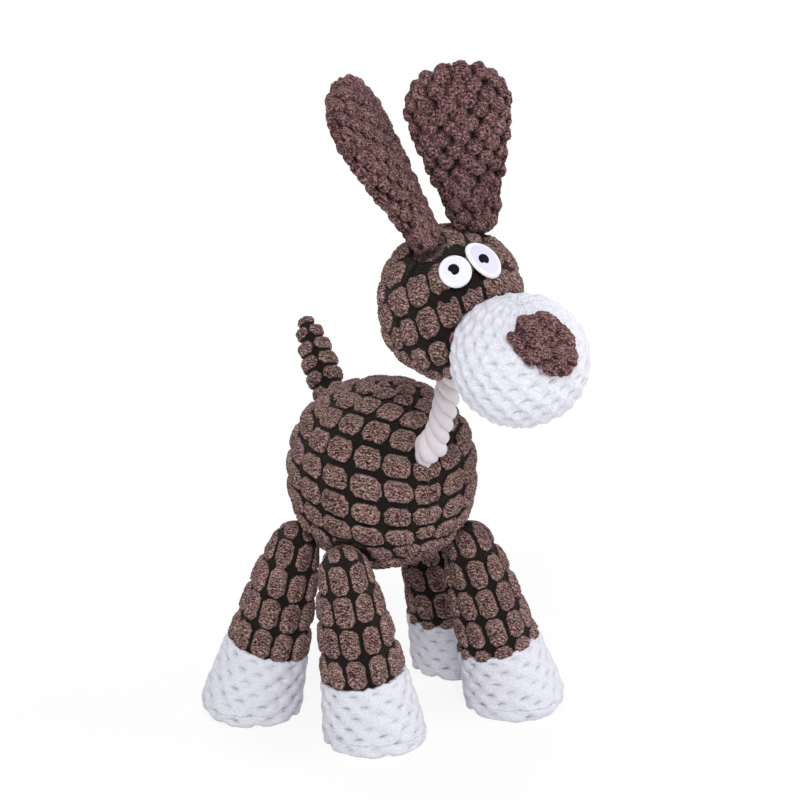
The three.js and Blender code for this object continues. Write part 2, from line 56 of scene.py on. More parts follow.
mounts = {mount["name"]: mount for mount in frame["record"]["mounts"]}
slotOf = {part["node"]: part["material_slot"] for part in frame["record"]["subparts"]}
print("frame loaded:", len(frame["nodes"]), "nodes")

# All shaping is worked out in millimetres, and turned into metres when a mesh is made.
mm = 0.001
perMetre = 1000
sides = (("right", -1), ("left", 1))


def point(values):
    return np.array(values, float) * perMetre


def jointAt(name):
    return point(joints[name]["pos_m"])


def boxOf(*nodes):  # lowest and highest corner of some CAD nodes
    corners = [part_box(node) for node in nodes]
    low = np.min([point(c[0]) for c in corners], axis=0)
    return low, np.max([point(c[1]) for c in corners], axis=0)


def unit(v):
    v = np.asarray(v, float)
    return v / np.linalg.norm(v, axis=-1, keepdims=True)


def cosSin(degrees):
    return math.cos(math.radians(degrees)), math.sin(math.radians(degrees))


def facing(azimuth, elevation):  # 0, 0 looks forward
    (back, right), (level, up) = cosSin(azimuth), cosSin(elevation)
    return np.array([right * level, -back * level, up])


def circled(angle, first, second):  # a direction at `angle` from the first, towards the second
    return np.cos(angle)[..., None] * first + np.sin(angle)[..., None] * second


def runLength(points):  # from the first point to each of a line's points
    return np.append(0, np.cumsum(np.linalg.norm(np.diff(points, axis=0), axis=1)))


def smooth(x):
    x = np.clip(x, 0, 1)
    return x * x * (3 - 2 * x)


def rising(least, share):  # from the least value at 0 to one at 1
    return least + (1 - least) * share


# Camera and lamps.

view = {
    "azimuth": -32, "elevation": 15, "distance": 1000, "lens": 92.59, "sensor": 36, "clip": (0.05, 20),
    "aim": (-3.9, -23.3, 42.94),  # from the torso's middle to what the camera looks at
}
neckRoot = jointAt("neck_nod")
neckAbove = 20.42  # the rope leaves the torso that far above the torso's middle
torsoMiddle = np.mean(boxOf("torso_cover_left", "torso_cover_right"), axis=0)
torsoMiddle[2] = neckRoot[2] - neckAbove
towards = facing(view["azimuth"], view["elevation"])


def show(name, data, place, way, axis):  # a new object, turned so that one of its axes points that way
    made = bpy.data.objects.new(name, data)
    made.location = place
    made.rotation_euler = way.to_track_quat(axis, "Y").to_euler()
    bpy.context.scene.collection.objects.link(made)
    return made


cameraData = bpy.data.cameras.new("camera")
cameraData.lens = view["lens"]
cameraData.sensor_width = view["sensor"]
cameraData.clip_start, cameraData.clip_end = view["clip"]
cameraPlace = Vector((torsoMiddle + np.array(view["aim"]) + towards * view["distance"]) * mm)
bpy.context.scene.camera = show("camera", cameraData, cameraPlace, Vector(-towards), "-Z")
bpy.context.scene.view_settings.view_transform = "Standard"

lampPlan = {  # place from the floor's middle in metres, width in metres, watts
    "key": ((-0.75, -1.15, 1.35), 0.9, 21),
    "fill": ((1.25, -0.75, 0.7), 1.1, 9),
    "back": ((0.3, 1.3, 1.2), 1.2, 9),
}
lampAim = Vector((0, 0, 0.15))
for name, (place, width, power) in lampPlan.items():
    lamp = bpy.data.lights.new(name, "AREA")
    lamp.shape, lamp.size, lamp.energy = "DISK", width, power
    show(name, lamp, place, Vector(place) - lampAim, "Z")


# Shader nodes written as sums.

def linear(r, g, b):  # from the 0 to 255 values that a picture shows
    def one(c):
        c = c / 255
        return c / 12.92 if c <= 0.04045 else ((c + 0.055) / 1.055) ** 2.4
    return (one(r), one(g), one(b), 1)


class Link:  # a node's socket, which can be added, multiplied and so on
    def __init__(self, look, socket):
        self.look, self.socket = look, socket

    def maths(self, operation, first, second):
        return self.look.node("ShaderNodeMath", {"operation": operation}, {0: first, 1: second})

    def __add__(self, other):
        return self.maths("ADD", self, other)

    def __radd__(self, other):
        return self.maths("ADD", other, self)

    def __sub__(self, other):
        return self.maths("SUBTRACT", self, other)

    def __rsub__(self, other):
        return self.maths("SUBTRACT", other, self)

    def __mul__(self, other):
        return self.maths("MULTIPLY", self, other)

    def __rmul__(self, other):
        return self.maths("MULTIPLY", other, self)

    def atLeast(self, other):
        return self.maths("MAXIMUM", self, other)


class Look:  # one material, or the world, and its nodes
    def __init__(self, name, kind=bpy.data.materials):
        self.made = kind.new(name)
        self.made.use_nodes = True
        self.tree = self.made.node_tree
        self.tree.nodes.clear()

    def node(self, kind, settings=None, values=None, out=0):
        made = self.tree.nodes.new(kind)
        for key, value in (settings or {}).items():
            setattr(made, key, value)
        for key, value in (values or {}).items():
            if isinstance(value, Link):
                self.tree.links.new(value.socket, made.inputs[key])
            else:
                made.inputs[key].default_value = value
        return Link(self, made.outputs[out]) if made.outputs else None

    def mix(self, share, first, second):  # colours
        return self.node("ShaderNodeMix", {"data_type": "RGBA"}, {0: share, 6: first, 7: second}, 2)

    def attribute(self, name):
        return self.node("ShaderNodeAttribute", {"attribute_name": name}, out=2)

    def place(self):
        return self.node("ShaderNodeTexCoord", out=3)

    def seen(self):  # 1 for a ray from the camera, and for one by way of metal or glass
        words = ("Camera", "Glossy", "Transmission")
        rays = [self.node("ShaderNodeLightPath", out=f"Is {word} Ray") for word in words]
        return rays[0].atLeast(rays[1]).atLeast(rays[2])

    def noise(self, size, detail, rough, where=None):  # lumps about `size` mm across
        where = where or self.place()
        values = {"Vector": where, "Scale": perMetre / size, "Detail": detail, "Roughness": rough}
        return self.node("ShaderNodeTexNoise", None, values)

    def wave(self, pitch, winding, bend, where=None):  # bands `pitch` mm apart; a scale of 1 gives pi / 10
        values = {
            "Vector": where or self.place(), "Scale": perMetre * math.pi / 10 / pitch,
            "Distortion": winding, "Detail": 2.0, "Detail Scale": bend,
        }
        return self.node("ShaderNodeTexWave", {"bands_direction": "DIAGONAL"}, values, 1)

    def ramp(self, share, low, high):  # 0 below low, 1 above high
        return self.node("ShaderNodeMapRange", {"clamp": True}, {0: share, 1: low, 2: high})

    def bump(self, height, distance, strength):
        values = {"Height": height, "Distance": distance, "Strength": strength}
        return self.node("ShaderNodeBump", None, values)

    def blend(self, share, first, second, output):  # two shaders, on to the output
        mixed = self.node("ShaderNodeMixShader", None, {0: share, 1: first, 2: second})
        self.node(output, None, {"Surface": mixed})
        return self.made

    def finish(self, **values):
        values = {key.replace("_", " "): value for key, value in values.items()}
        shader = self.node("ShaderNodeBsdfPrincipled", None, values)
        self.node("ShaderNodeOutputMaterial", None, {"Surface": shader})
        return self.made


# The floor and the sky, which show as white and give off less light than white would.

stage = {
    "floorHalf": 6, "floorBelow": 0.0002, "tone": (0.9, 0.9, 0.9, 1), "white": (1, 1, 1, 1),
    "whiteNear": 0.82, "fade": (0.2, 0.7),  # the shadow shows near the toy and fades out away from it
    "skyLight": 0.52,
}


def floorMaterial():
    look = Look("paleFloor")
    plain = look.node("ShaderNodeBsdfDiffuse", None, {"Color": stage["tone"]})
    white = look.node("ShaderNodeEmission", None, {"Color": stage["white"], "Strength": 1.0})
    away = look.node("ShaderNodeVectorMath", {"operation": "LENGTH"}, {0: look.place()}, 1)
    share = look.ramp(away, *stage["fade"]) * (1 - stage["whiteNear"]) + stage["whiteNear"]
    return look.blend(look.seen() * share, plain, white, "ShaderNodeOutputMaterial")


def skyWorld():
    look = Look("studio", bpy.data.worlds)
    soft, white = [
        look.node("ShaderNodeBackground", None, {"Color": stage["white"], "Strength": strength})
        for strength in (stage["skyLight"], 1.0)
    ]
    return look.blend(look.seen(), soft, white, "ShaderNodeOutputWorld")


floorMesh = bpy.data.meshes.new("floor")
corners = np.array([(-1, -1, 0), (1, -1, 0), (1, 1, 0), (-1, 1, 0)]) * stage["floorHalf"]
floorMesh.from_pydata(corners.tolist(), [], [(0, 1, 2, 3)])
floorMesh.materials.append(floorMaterial())
floor = bpy.data.objects.new("floor", floorMesh)
floor.location.z = -stage["floorBelow"]
bpy.context.scene.collection.objects.link(floor)
bpy.context.scene.world = skyWorld()
print("camera, lamps and floor made")


# Plush materials. Each plush mesh carries two attributes. The first is 0 on the backing and 1 on a tuft,
# and lower where shade is painted into pits, valleys and pressed spots. The second is painted light,
# 0 for painted shade deep between two crumbs of pile and 1 for a painted highlight on a crumb's top.

plushTones = {  # `backed` is where pile takes over from the backing colour, which is also the colour of painted shade in pits, valleys and pressed spots
    "brown_plush": {
        "backing": (25, 21, 18), "deep": (37, 21, 18), "middle": (114, 85, 80), "tip": (180, 151, 145),
        "backed": (0.15, 0.45), "depth": 0.5, "grain": 1.0, "lift": 0.445, "relief": 1.0,
        "sheen": 0.08, "sheenTint": (0.9, 0.78, 0.76, 1),
    },
    "dark_plush": {
        "backing": (26, 14, 14), "deep": (38, 20, 20), "middle": (99, 67, 66), "tip": (154, 121, 120),
        "backed": (0.2, 0.95), "depth": 0.7, "grain": 0.95, "lift": 0.53, "relief": 1.0,
        "sheen": 0.08, "sheenTint": (0.9, 0.76, 0.76, 1),
    },
    "white_plush": {
        "backing": (158, 159, 168), "deep": (209, 209, 219), "middle": (219, 219, 229),
        "tip": (227, 227, 235), "backed": (0.1, 0.8), "depth": 0.35, "grain": 0.7, "lift": 0.46,
        "relief": 0.45, "sheen": 0.03, "sheenTint": (1, 1, 1, 1),
    },
}
plushGrain = {  # sizes in mm, and how much each size adds to the light and dark
    "strand": 0.98, "strandShare": 0.6, "winding": 7.0, "bend": 1.4,
    "fibre": 0.95, "fibreShare": 2.1, "fine": 0.45, "cloudy": 14, "cloudyShare": 0.35, "pileMiddle": 0.6,
    "sway": 3.0, "swayReach": 0.002, "shades": (0.0, 0.5, 1.05), "bump": 0.0007, "bumpShares": (0.5, 1.2),
}


def plushMaterial(slot):
    tone, grain = plushTones[slot], plushGrain
    look = Look(slot.split("_")[0] + "Plush")
    tuft, pile = look.attribute("tuft"), look.attribute("pile")
    waves = {"Vector": look.place(), "Scale": perMetre / grain["sway"], "Detail": 1.0}
    sway = look.node("ShaderNodeTexNoise", None, waves, 1)
    bends = {0: sway, 1: (grain["swayReach"],) * 3, 2: look.place()}
    bent = look.node("ShaderNodeVectorMath", {"operation": "MULTIPLY_ADD"}, bends)
    strand = look.wave(grain["strand"], grain["winding"], grain["bend"], bent) - 0.5
    fibre = look.noise(grain["fibre"], 1, 0.6, bent) - 0.5
    fine = look.noise(grain["fine"], 1, 0.5) - 0.5
    cloudy = look.noise(grain["cloudy"], 1, 0.5) - 0.5
    level = (strand * grain["strandShare"] + fibre * grain["fibreShare"] + fine) * tone["grain"]
    # painted light from the mesh, scaled by each plush's depth: darker between crumbs, in pits and valleys,
    # lighter on crumb tops and round tuft edges
    level = level + (pile - grain["pileMiddle"]) * tone["depth"]
    level = level + cloudy * grain["cloudyShare"] + tone["lift"]
    dark, half, light = grain["shades"]
    low = look.mix(look.ramp(level, dark, half), linear(*tone["deep"]), linear(*tone["middle"]))
    pileColour = look.mix(look.ramp(level, half, light), low, linear(*tone["tip"]))
    # the backing colour shows on the backing and, as painted shade, in pits, valleys and pressed spots
    colour = look.mix(look.ramp(tuft, *tone["backed"]), linear(*tone["backing"]), pileColour)
    height = strand * grain["bumpShares"][0] + fibre * grain["bumpShares"][1]
    return look.finish(
        Base_Color=colour, Roughness=0.95, Normal=look.bump(height, grain["bump"], tone["relief"]),
        Sheen_Weight=tone["sheen"], Sheen_Tint=tone["sheenTint"], Sheen_Roughness=0.5,
        Specular_IOR_Level=0.12,
    )


plushLook = {slot: plushMaterial(slot) for slot in plushTones}


# Noise, the same in every run.

def chance(ix, iy, iz, seed):  # a number from 0 to 1 for each lattice place
    n = (ix * 374761393 + iy * 668265263 + iz * 1442695041 + seed * 1274126177) & 0xFFFFFFFF
    n = ((n ^ (n >> 13)) * 1274126177) & 0xFFFFFFFF
    n = ((n ^ (n >> 15)) * 668265263) & 0xFFFFFFFF
    return ((n ^ (n >> 16)) & 0xFFFF) / 65535


def cloud(places, size, seed):  # smooth noise from -1 to 1, with lumps about `size` across
    q = places / size
    cell = np.floor(q).astype(np.int64)
    f = q - cell
    f = f * f * (3 - 2 * f)
    total = 0
    for corner in product((0, 1), repeat=3):
        share = np.where(corner, f, 1 - f)
        total = total + share[:, 0] * share[:, 1] * share[:, 2] * chance(*(cell + corner).T, seed)
    return 2 * total - 1


def crumbs(places, size, seed, wander=0.8):  # about 1 in the middle of each crumb of pile, 0 between crumbs
    q = places / size
    cell = np.floor(q).astype(np.int64)
    nearest = np.full(len(q), np.inf)
    for step in product((-1, 0, 1), repeat=3):
        at = cell + step
        gap = 0
        for k in range(3):
            spot = at[:, k] + 0.5 + wander * (chance(*at.T, seed + k) - 0.5)
            gap = gap + (q[:, k] - spot) ** 2
        nearest = np.minimum(nearest, gap)
    return np.clip(1 - np.sqrt(nearest), 0, 1)


def lit(grain):  # how much of the light a crumb's top catches
    return np.clip(grain * 1.4 - 0.1, 0, 1)


# Fabrics. Each gives height in mm, the tuft share with its painted shade, and painted light,
# from flat cloth coordinates s and t in mm.

tuftCloth = {
    "length": 16.2, "width": 12.1, "gapLong": 1.8, "gapShort": 1.0, "chamfer": 2.7, "height": 2.9,
    "edge": 2.4, "cover": 0.8, "crown": 0.6, "crumb": 1.5, "crumbHeight": 0.9, "crumbMiddle": 0.62,
    "ragged": 0.35, "raggedSize": 2.2, "fringe": 2.4, "fringeLight": 0.8,
    "wander": (0.9, 0.7), "sizes": (0.94, 0.1),  # how tufts differ in place and in size
}
nubCloth = {
    "across": 10.6, "row": 6.1, "height": 4.2, "crumb": 1.5, "crumbHeight": 0.8, "wander": 0.2,
    "spread": 0.48, "sizes": (0.92, 0.16), "flatter": 1.08, "dark": (-0.05, 0.8), "darkest": 0.3,
}
bubbleCloth = {
    "across": 11.6, "row": 5.3, "height": 1.5, "sharp": 0.6, "crumb": 1.5, "crumbHeight": 0.35,
    "wander": 0.16, "pitHalf": (2.3, 0.65), "pitDepth": 1.1, "pitDark": 0.52, "pitLeast": 0.55,
    "slope": 0.35, "slopeBias": 0.3, "wavy": 0.25, "wavySize": 4.0,
}


def tufted(places, s, t, seed, cloth=tuftCloth):  # octagonal tufts in straight rows on a dark backing
    i, j = np.floor(s / cloth["length"]).astype(np.int64), np.floor(t / cloth["width"]).astype(np.int64)
    x = s - (i + 0.5) * cloth["length"] + cloth["wander"][0] * (chance(i, j, 0, seed) - 0.5)
    y = t - (j + 0.5) * cloth["width"] + cloth["wander"][1] * (chance(i, j, 0, seed + 1) - 0.5)
    size = cloth["sizes"][0] + cloth["sizes"][1] * chance(i, j, 0, seed + 2)
    halfX = (cloth["length"] - cloth["gapShort"]) / 2 * size
    halfY = (cloth["width"] - cloth["gapLong"]) / 2 * size
    corner = (halfX + halfY - cloth["chamfer"] - np.abs(x) - np.abs(y)) * math.sqrt(0.5)
    grain = crumbs(places, cloth["crumb"], seed + 3)
    ragged = cloud(places, cloth["raggedSize"], seed + 6) + grain - 0.5
    inside = np.minimum(np.minimum(halfX - np.abs(x), halfY - np.abs(y)), corner) + cloth["ragged"] * ragged
    rise = np.clip(inside / cloth["edge"], 0, 1)
    dome = np.sqrt(1 - (1 - rise) ** 2)
    middle = 1 - np.clip((x / halfX) ** 2 + (y / halfY) ** 2, 0, 1)
    height = dome * (cloth["height"] + cloth["crown"] * middle) - cloth["height"]
    height = height + dome * cloth["crumbHeight"] * (grain - cloth["crumbMiddle"])
    fringe = 1 - np.clip(inside / cloth["fringe"], 0, 1)  # pile spreads round a tuft's edge, and a painted highlight lightens it there
    pile = lit(grain) * (1 - 0.5 * fringe) + cloth["fringeLight"] * fringe
    return height, np.clip(inside / cloth["cover"], 0, 1), pile


def staggered(s, t, seed, cloth, beside):  # the marks of staggered rows round each point, in steps from it
    row = np.round(t / cloth["row"]).astype(np.int64)
    for rowStep in (-1, 0, 1):
        j = row + rowStep
        shift = np.where(j % 2 == 0, 0.0, 0.5)
        column = np.round(s / cloth["across"] - shift).astype(np.int64)
        for columnStep in beside:
            i = column + columnStep
            x = s / cloth["across"] - shift - i + cloth["wander"] * (chance(i, j, 0, seed) - 0.5)
            y = t / cloth["row"] - j + cloth["wander"] * (chance(i, j, 0, seed + 1) - 0.5)
            yield rowStep, i, j, x, y


def nubbed(places, s, t, seed, cloth):  # rounded nubs packed in staggered rows, with painted shade in the valleys between them
    nearest = np.full(len(s), np.inf)
    for _, i, j, x, y in staggered(s, t, seed, cloth, (-1, 0, 1)):
        size = cloth["spread"] * (cloth["sizes"][0] + cloth["sizes"][1] * chance(i, j, 0, seed + 2))
        up = y * cloth["row"] / cloth["across"] * cloth["flatter"]
        nearest = np.minimum(nearest, (x / size) ** 2 + (up / size) ** 2)
    grain = crumbs(places, cloth["crumb"], seed + 3)
    dome = np.sqrt(np.clip(1 - nearest, 0, 1))
    height = cloth["height"] * (dome - 1) + cloth["crumbHeight"] * (grain - 0.5)
    # painted shade darkens the valleys between nubs, down to a least share where they are deepest
    low, high = cloth["dark"]
    clear = rising(cloth["darkest"], smooth((dome - low) / (high - low)))
    return height, clear, lit(grain) * clear


def bubbled(places, s, t, seed, cloth):  # soft lumps with short pits in staggered rows between them, the pits darkened by painted shade
    pit, lump = np.zeros(len(s)), np.zeros(len(s))
    halfX, halfY = cloth["pitHalf"]
    for rowStep, i, j, x, y in staggered(s, t, seed, cloth, (0,)):
        slope = cloth["slope"] * (chance(i, j, 0, seed + 2) - cloth["slopeBias"])  # pits lie a little askew
        x, y = x * cloth["across"], (y - slope * x) * cloth["row"]
        strength = rising(cloth["pitLeast"], chance(i, j, 0, seed + 4))
        pit = np.maximum(pit, strength * np.exp(-((x / halfX) ** 4) - (y / halfY) ** 2))
        if rowStep == 0:
            lump = -np.cos(2 * np.pi * x / cloth["across"]) * np.cos(np.pi * y / cloth["row"])
    grain = crumbs(places, cloth["crumb"], seed + 3)
    height = cloth["height"] * (np.clip((1 + lump) / 2, 0, 1) ** cloth["sharp"] - 1)
    height = height - cloth["pitDepth"] * pit + cloth["crumbHeight"] * (grain - 0.5)
    height = height + cloth["wavy"] * cloud(places, cloth["wavySize"], seed + 5)
    # painted shade darkens the pits
    return height, 1 - cloth["pitDark"] * pit, lit(grain) * (1 - 0.8 * pit)


# Closed pieces made from a grid. The lining has one point for each few of the outside.

liningStep = 4
merge = {"points": 0.00001, "thin": 0.000005}  # metres: nearer points are joined, thinner faces go
floorGap = {"outside": 0.02, "lining": 0.5}  # mm: no point of a panel is lower


def discGrid(n):  # a square grid bent into a unit disc: angle and radius of each point
    x, y = np.meshgrid(np.linspace(-1, 1, n + 1), np.linspace(-1, 1, n + 1), indexing="ij")
    wide = np.abs(x) >= np.abs(y)
    radius = np.maximum(np.abs(x), np.abs(y))
    leftRight = np.where(x >= 0, 0, np.pi) + np.pi / 4 * y / np.where(x == 0, 1, x)
    upDown = np.where(y >= 0, 0.5, 1.5) * np.pi - np.pi / 4 * x / np.where(y == 0, 1, y)
    return {"closed": False, "angle": np.where(wide, leftRight, upDown), "radius": radius}


def tubeGrid(count, along):  # angle round a tube, and 0 at its start to 1 at its end
    turns = np.arange(count) * 2 * np.pi / count
    angle, share = np.meshgrid(turns, np.linspace(0, 1, along + 1), indexing="ij")
    return {"closed": True, "angle": angle, "radius": share}


def gridNormals(grid, places, middle):  # unit normals, on the side away from `middle`
    du = np.roll(places, -1, 0) - np.roll(places, 1, 0) if grid["closed"] else np.gradient(places, axis=0)
    found = np.cross(du, np.gradient(places, axis=1))
    length = np.linalg.norm(found, axis=-1, keepdims=True)
    found = found / np.where(length < 1e-9, 1, length)
    if not grid["closed"]:  # a disc's four corners are folded flat, so they take their neighbour's normal
        ends = ((slice(0, 3), 3), (slice(-3, None), -4))
        for (rows, row), (columns, column) in product(ends, ends):
            found[rows, columns] = found[row, column]
    return -found if np.sum(found * (places - middle)) < 0 else found


def quads(cells, closed):
    if closed:
        cells = np.concatenate([cells, cells[:1]])
    return np.stack([cells[:-1, :-1], cells[1:, :-1], cells[1:, 1:], cells[:-1, 1:]], -1).reshape(-1, 4)


def bridge(fine, coarse, closed):  # joins a rim of the outside to the same rim of the lining
    count, faces = len(fine), []
    for c in range(len(coarse) if closed else len(coarse) - 1):
        start, beyond = c * liningStep, coarse[(c + 1) % len(coarse)]
        half = start + liningStep // 2
        for f in range(start, start + liningStep):
            faces.append((fine[f % count], fine[(f + 1) % count], coarse[c] if f < half else beyond))
        faces.append((fine[half % count], beyond, coarse[c]))
    return faces


def makePiece(name, node, body, points, faces, material, attributes=None):  # points in mm
    mesh = bpy.data.meshes.new(name)
    mesh.from_pydata((points * mm).tolist(), [], faces)
    for key, values in (attributes or {}).items():
        layer = mesh.attributes.new(key, "FLOAT", "POINT")
        layer.data.foreach_set("value", np.asarray(values, np.float32))
    work = bmesh.new()
    work.from_mesh(mesh)
    bmesh.ops.remove_doubles(work, verts=work.verts, dist=merge["points"])
    bmesh.ops.dissolve_degenerate(work, edges=work.edges, dist=merge["thin"])
    bmesh.ops.recalc_face_normals(work, faces=work.faces)
    work.to_mesh(mesh)
    work.free()
    mesh.shade_smooth()
    mesh.materials.append(material)
    piece = bpy.data.objects.new(name, mesh)
    bpy.context.scene.collection.objects.link(piece)
    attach(piece, body)
    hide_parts(node)
    return piece


def linedPiece(name, node, body, closed, top, under, material, attributes, liningValue):
    under = under[::liningStep, ::liningStep]
    outer = np.arange(top[..., 0].size).reshape(top.shape[:2])
    lining = outer.size + np.arange(under[..., 0].size).reshape(under.shape[:2])
    faces = quads(outer, closed).tolist() + quads(lining, closed).tolist()
    rims = [(outer[:, 0], lining[:, 0]), (outer[:, -1], lining[:, -1])]
    if not closed:
        rims += [(outer[0], lining[0]), (outer[-1], lining[-1])]
    for fine, coarse in rims:
        faces += bridge(fine, coarse, closed)
    points = np.concatenate([top.reshape(-1, 3), under.reshape(-1, 3)])
    inner = np.full(lining.size, liningValue)  # one value all over the lining
    attributes = {key: np.append(value, inner) for key, value in attributes.items()}
    makePiece(name, node, body, points, faces, material, attributes)


def drawnIn(height, gap, pull, groove=1.5, reach=2.4, least=0.3):  # by a seam that is `gap` mm away
    return height * rising(least, smooth(gap / reach)) - pull * np.exp(-((gap / groove) ** 2))


def panel(name, node, body, grid, place, middle, cloth, edge=None, pull=1.0, wall=3.2, inner=None):
    base = place(grid["angle"], grid["radius"])
    normal = gridNormals(grid, base, middle)
    height, tuft, pile = (v.reshape(base.shape[:2]) for v in cloth(base.reshape(-1, 3)))
    if edge is not None:
        height = drawnIn(height, edge(grid["radius"]), pull)
    top = base + normal * height[..., None]
    under = base - normal * wall if inner is None else inner(grid["angle"], grid["radius"])
    for skin, lowest in ((top, floorGap["outside"]), (under, floorGap["lining"])):
        skin[..., 2] = np.maximum(skin[..., 2], lowest)
    values = {"tuft": tuft, "pile": pile}
    linedPiece(name, node, body, grid["closed"], top, under, plushLook[slotOf[node]], values, 0.0)


# Stuffed balls, and cloth laid on them.

laidFlat = {"depth": 1.6, "tuft": 0.3}  # where another piece rests on plush: how deep the pile lies, and the tuft share left under painted shade


def ballDistance(direction, ball):  # from the middle out to a stuffed ball's skin
    power = ball["power"]
    return (np.abs(direction / np.array(ball["halves"])) ** power).sum(axis=-1) ** (-1 / power)


def dent(distance, direction, toUnit):  # a ball's skin gives way to a rounded form that rests in it
    turn = np.array(toUnit.to_3x3())
    start = np.array(toUnit.translation)
    along = direction @ turn.T
    a, b = (along ** 2).sum(-1), along @ start
    inside = b * b - a * (start @ start - 1)
    hit = (-b - np.sqrt(np.maximum(inside, 0))) / a
    return np.where((inside > 0) & (hit > 0), np.minimum(distance, hit), distance)


def sphereDent(centre, radius):
    return (Matrix.Translation(Vector(centre)) @ Matrix.Scale(radius, 4)).inverted()


def spread(angle, tilt, axis, side):  # a direction `tilt` away from `axis`, at `angle` round it from `side`
    axis, side = np.array(axis, float), np.array(side, float)
    outward = circled(angle, side, np.cross(axis, side))
    return np.cos(tilt)[..., None] * axis + np.sin(tilt)[..., None] * outward


def levelAndUp(direction):  # the level way across a direction, and the one up from it
    level = unit(np.cross((0, 0, 1), direction))
    return level, np.cross(direction, level)


def unrolled(way, direction):  # lays a ball's skin out flat round a direction, as a factor for each way
    tilt = np.arccos(np.clip(way @ np.array(direction), -1, 1))
    return tilt / np.maximum(np.sin(tilt), 1e-6)


def flattened(height, share):
    return height * share - laidFlat["depth"] * (1 - share)


def pressed(values, places, spots):  # tufts lie flat round other pieces, with painted shade there: centre, radius and reach of each
    height, tuft, pile = values
    for centre, radius, reach in spots:
        share = smooth((np.linalg.norm(places - centre, axis=-1) - radius) / reach)
        height = flattened(height, share)
        # painted shade: the colour darkens towards the backing's where pieces meet
        tuft = tuft * rising(laidFlat["tuft"], share)
    return height, tuft, pile


def rooted(height, along, root):  # a limb's cloth lies flatter where it goes into the piece it turns in
    share = smooth((along + root["before"]) / root["reach"])
    return height * rising(root["least"], share) + root["out"] * share - root["in"] * (1 - share)


# Torso: two side panels, sewn along the back and the chest.

torso = {
    "halves": (46.5, 45, 47.5), "power": 2.25, "detail": 228, "hipRoom": 14.15, "tailRoom": 9.95,
    "dip": 0.18, "narrowRow": 0.22, "narrowColumn": 0.12,  # as the solid's cloth lies
    "pressHip": 4, "pressTail": 3, "neckRoom": 5.0, "pressNeck": 2.5, "rimToMiddle": 72, "seed": 11,
}
legNames = ("front_right", "front_left", "rear_right", "rear_left")
hips = {name: jointAt("hip_" + name) for name in legNames}
tailRoot = jointAt("tail_wag")


def torsoPlace(side):
    def place(angle, radius):
        direction = spread(angle, radius * np.pi / 2, (side, 0, 0), (0, -1, 0))
        distance = ballDistance(direction, torso)
        for hip in hips.values():
            distance = dent(distance, direction, sphereDent(hip - torsoMiddle, torso["hipRoom"]))
        distance = dent(distance, direction, sphereDent(tailRoot - torsoMiddle, torso["tailRoom"]))
        return torsoMiddle + direction * distance[..., None]
    return place


def torsoCloth(places, seed):
    way = unit(places - torsoMiddle)
    flat = unrolled(np.abs(way), (1, 0, 0))
    u, v = -way[:, 1] * flat, way[:, 2] * flat
    along = u / (1 - torso["narrowColumn"] * np.abs(v)) * torso["halves"][1]
    up = (v * (1 - torso["narrowRow"] * np.abs(u)) + torso["dip"] * u) * torso["halves"][1]
    seam = np.pi / 2 * torso["halves"][1]
    values = tufted(places, seam - along + tuftCloth["length"] / 2, up + tuftCloth["width"] / 2, seed)
    spots = [(hip, torso["hipRoom"], torso["pressHip"]) for hip in hips.values()]
    spots.append((tailRoot, torso["tailRoom"], torso["pressTail"]))
    spots.append((neckRoot, torso["neckRoom"], torso["pressNeck"]))
    return pressed(values, places, spots)


for word, side in sides:
    panel(
        "torso_plush_" + word, "torso_cover_" + word, "torso", discGrid(torso["detail"]), torsoPlace(side),
        torsoMiddle, lambda places: torsoCloth(places, torso["seed"] + side),
        edge=lambda radius: (1 - radius) * torso["rimToMiddle"],
    )
print("torso made")


# Legs, feet and soles. A place on a leg's skin is an angle round the leg and a way down its profile.

profilePoints = 600
leg = {
    "outline": [  # along the leg from its hip, and radius
        (-13.4, 2.5), (-12.4, 6), (-9.6, 9.7), (-5.2, 12.6), (0, 13.6), (12, 15.5), (24, 17.2),
        (40, 19.2), (55.5, 21.0), (68, 22.8), (80, 24.5), (89, 25.3), (93.6, 24.2), (95.4, 21.0),
        (95.5, 15), (95.5, 0.0),
    ],
    "side": 520,  # the profile's points before it turns in under the sole
    "middle": 45, "cuff": 55.5, "solePanel": 6, "lift": 0.3, "soften": 2.5, "seed": 31,
    "rowFromCuff": {"front_right": 8.0, "front_left": 13.5, "rear_right": 7.4, "rear_left": 12.5},
    "columnTurn": {"front_right": 0.2, "front_left": 0.4, "rear_right": 0.1, "rear_left": 0.3},
    "sleeveGrid": (144, 84), "footGrid": (192, 48), "soleDetail": 60, "seamGrid": (181, 400),
    "root": {"before": 2, "reach": 14, "least": 0.35, "out": 0.5, "in": 0.7},
    "sleevePull": 0.9, "groove": 1.4,
}
foot = {
    "tone": 0.72, "rise": 1.0, "ragged": 1.5, "raggedRing": 8, "raggedSeed": 61, "turnAt": 92, "radius": 22,
    "cuffToSole": 36, "cuffEdge": 1.3, "pull": 0.4, "wall": 3.6, "soleWall": 2.6, "seed": 51,
}
legTuft = dict(tuftCloth, length=15.8, width=12.2)
footBubbles = dict(bubbleCloth, pitHalf=(2.4, 0.75), pitDepth=1.7, pitDark=0.68)


def softened(outline, reach):  # a smooth profile through the outline's points: lengths, places and radii
    outline = np.array(outline, float)
    steps = runLength(outline)
    fine = np.linspace(0, steps[-1], profilePoints)
    lines = [np.interp(fine, steps, column) for column in outline.T]
    width = max(1, int(reach / (fine[1] - fine[0])))
    kernel = np.hanning(2 * width + 1)
    kernel /= kernel.sum()
    padded = [np.concatenate([2 * v[0] - v[width:0:-1], v, 2 * v[-1] - v[-2:-width - 2:-1]]) for v in lines]
    along, radius = [np.convolve(v, kernel, "valid") for v in padded]
    return fine, along, np.maximum(radius, 0)


legWays, legAlong, legRadius = softened(leg["outline"], leg["soften"])
legEnd = legWays[-1]
cuffStart = np.interp(leg["cuff"], legAlong[:leg["side"]], legWays[:leg["side"]])


def sideRadius(s):
    return np.interp(s, legAlong[:leg["side"]], legRadius[:leg["side"]])


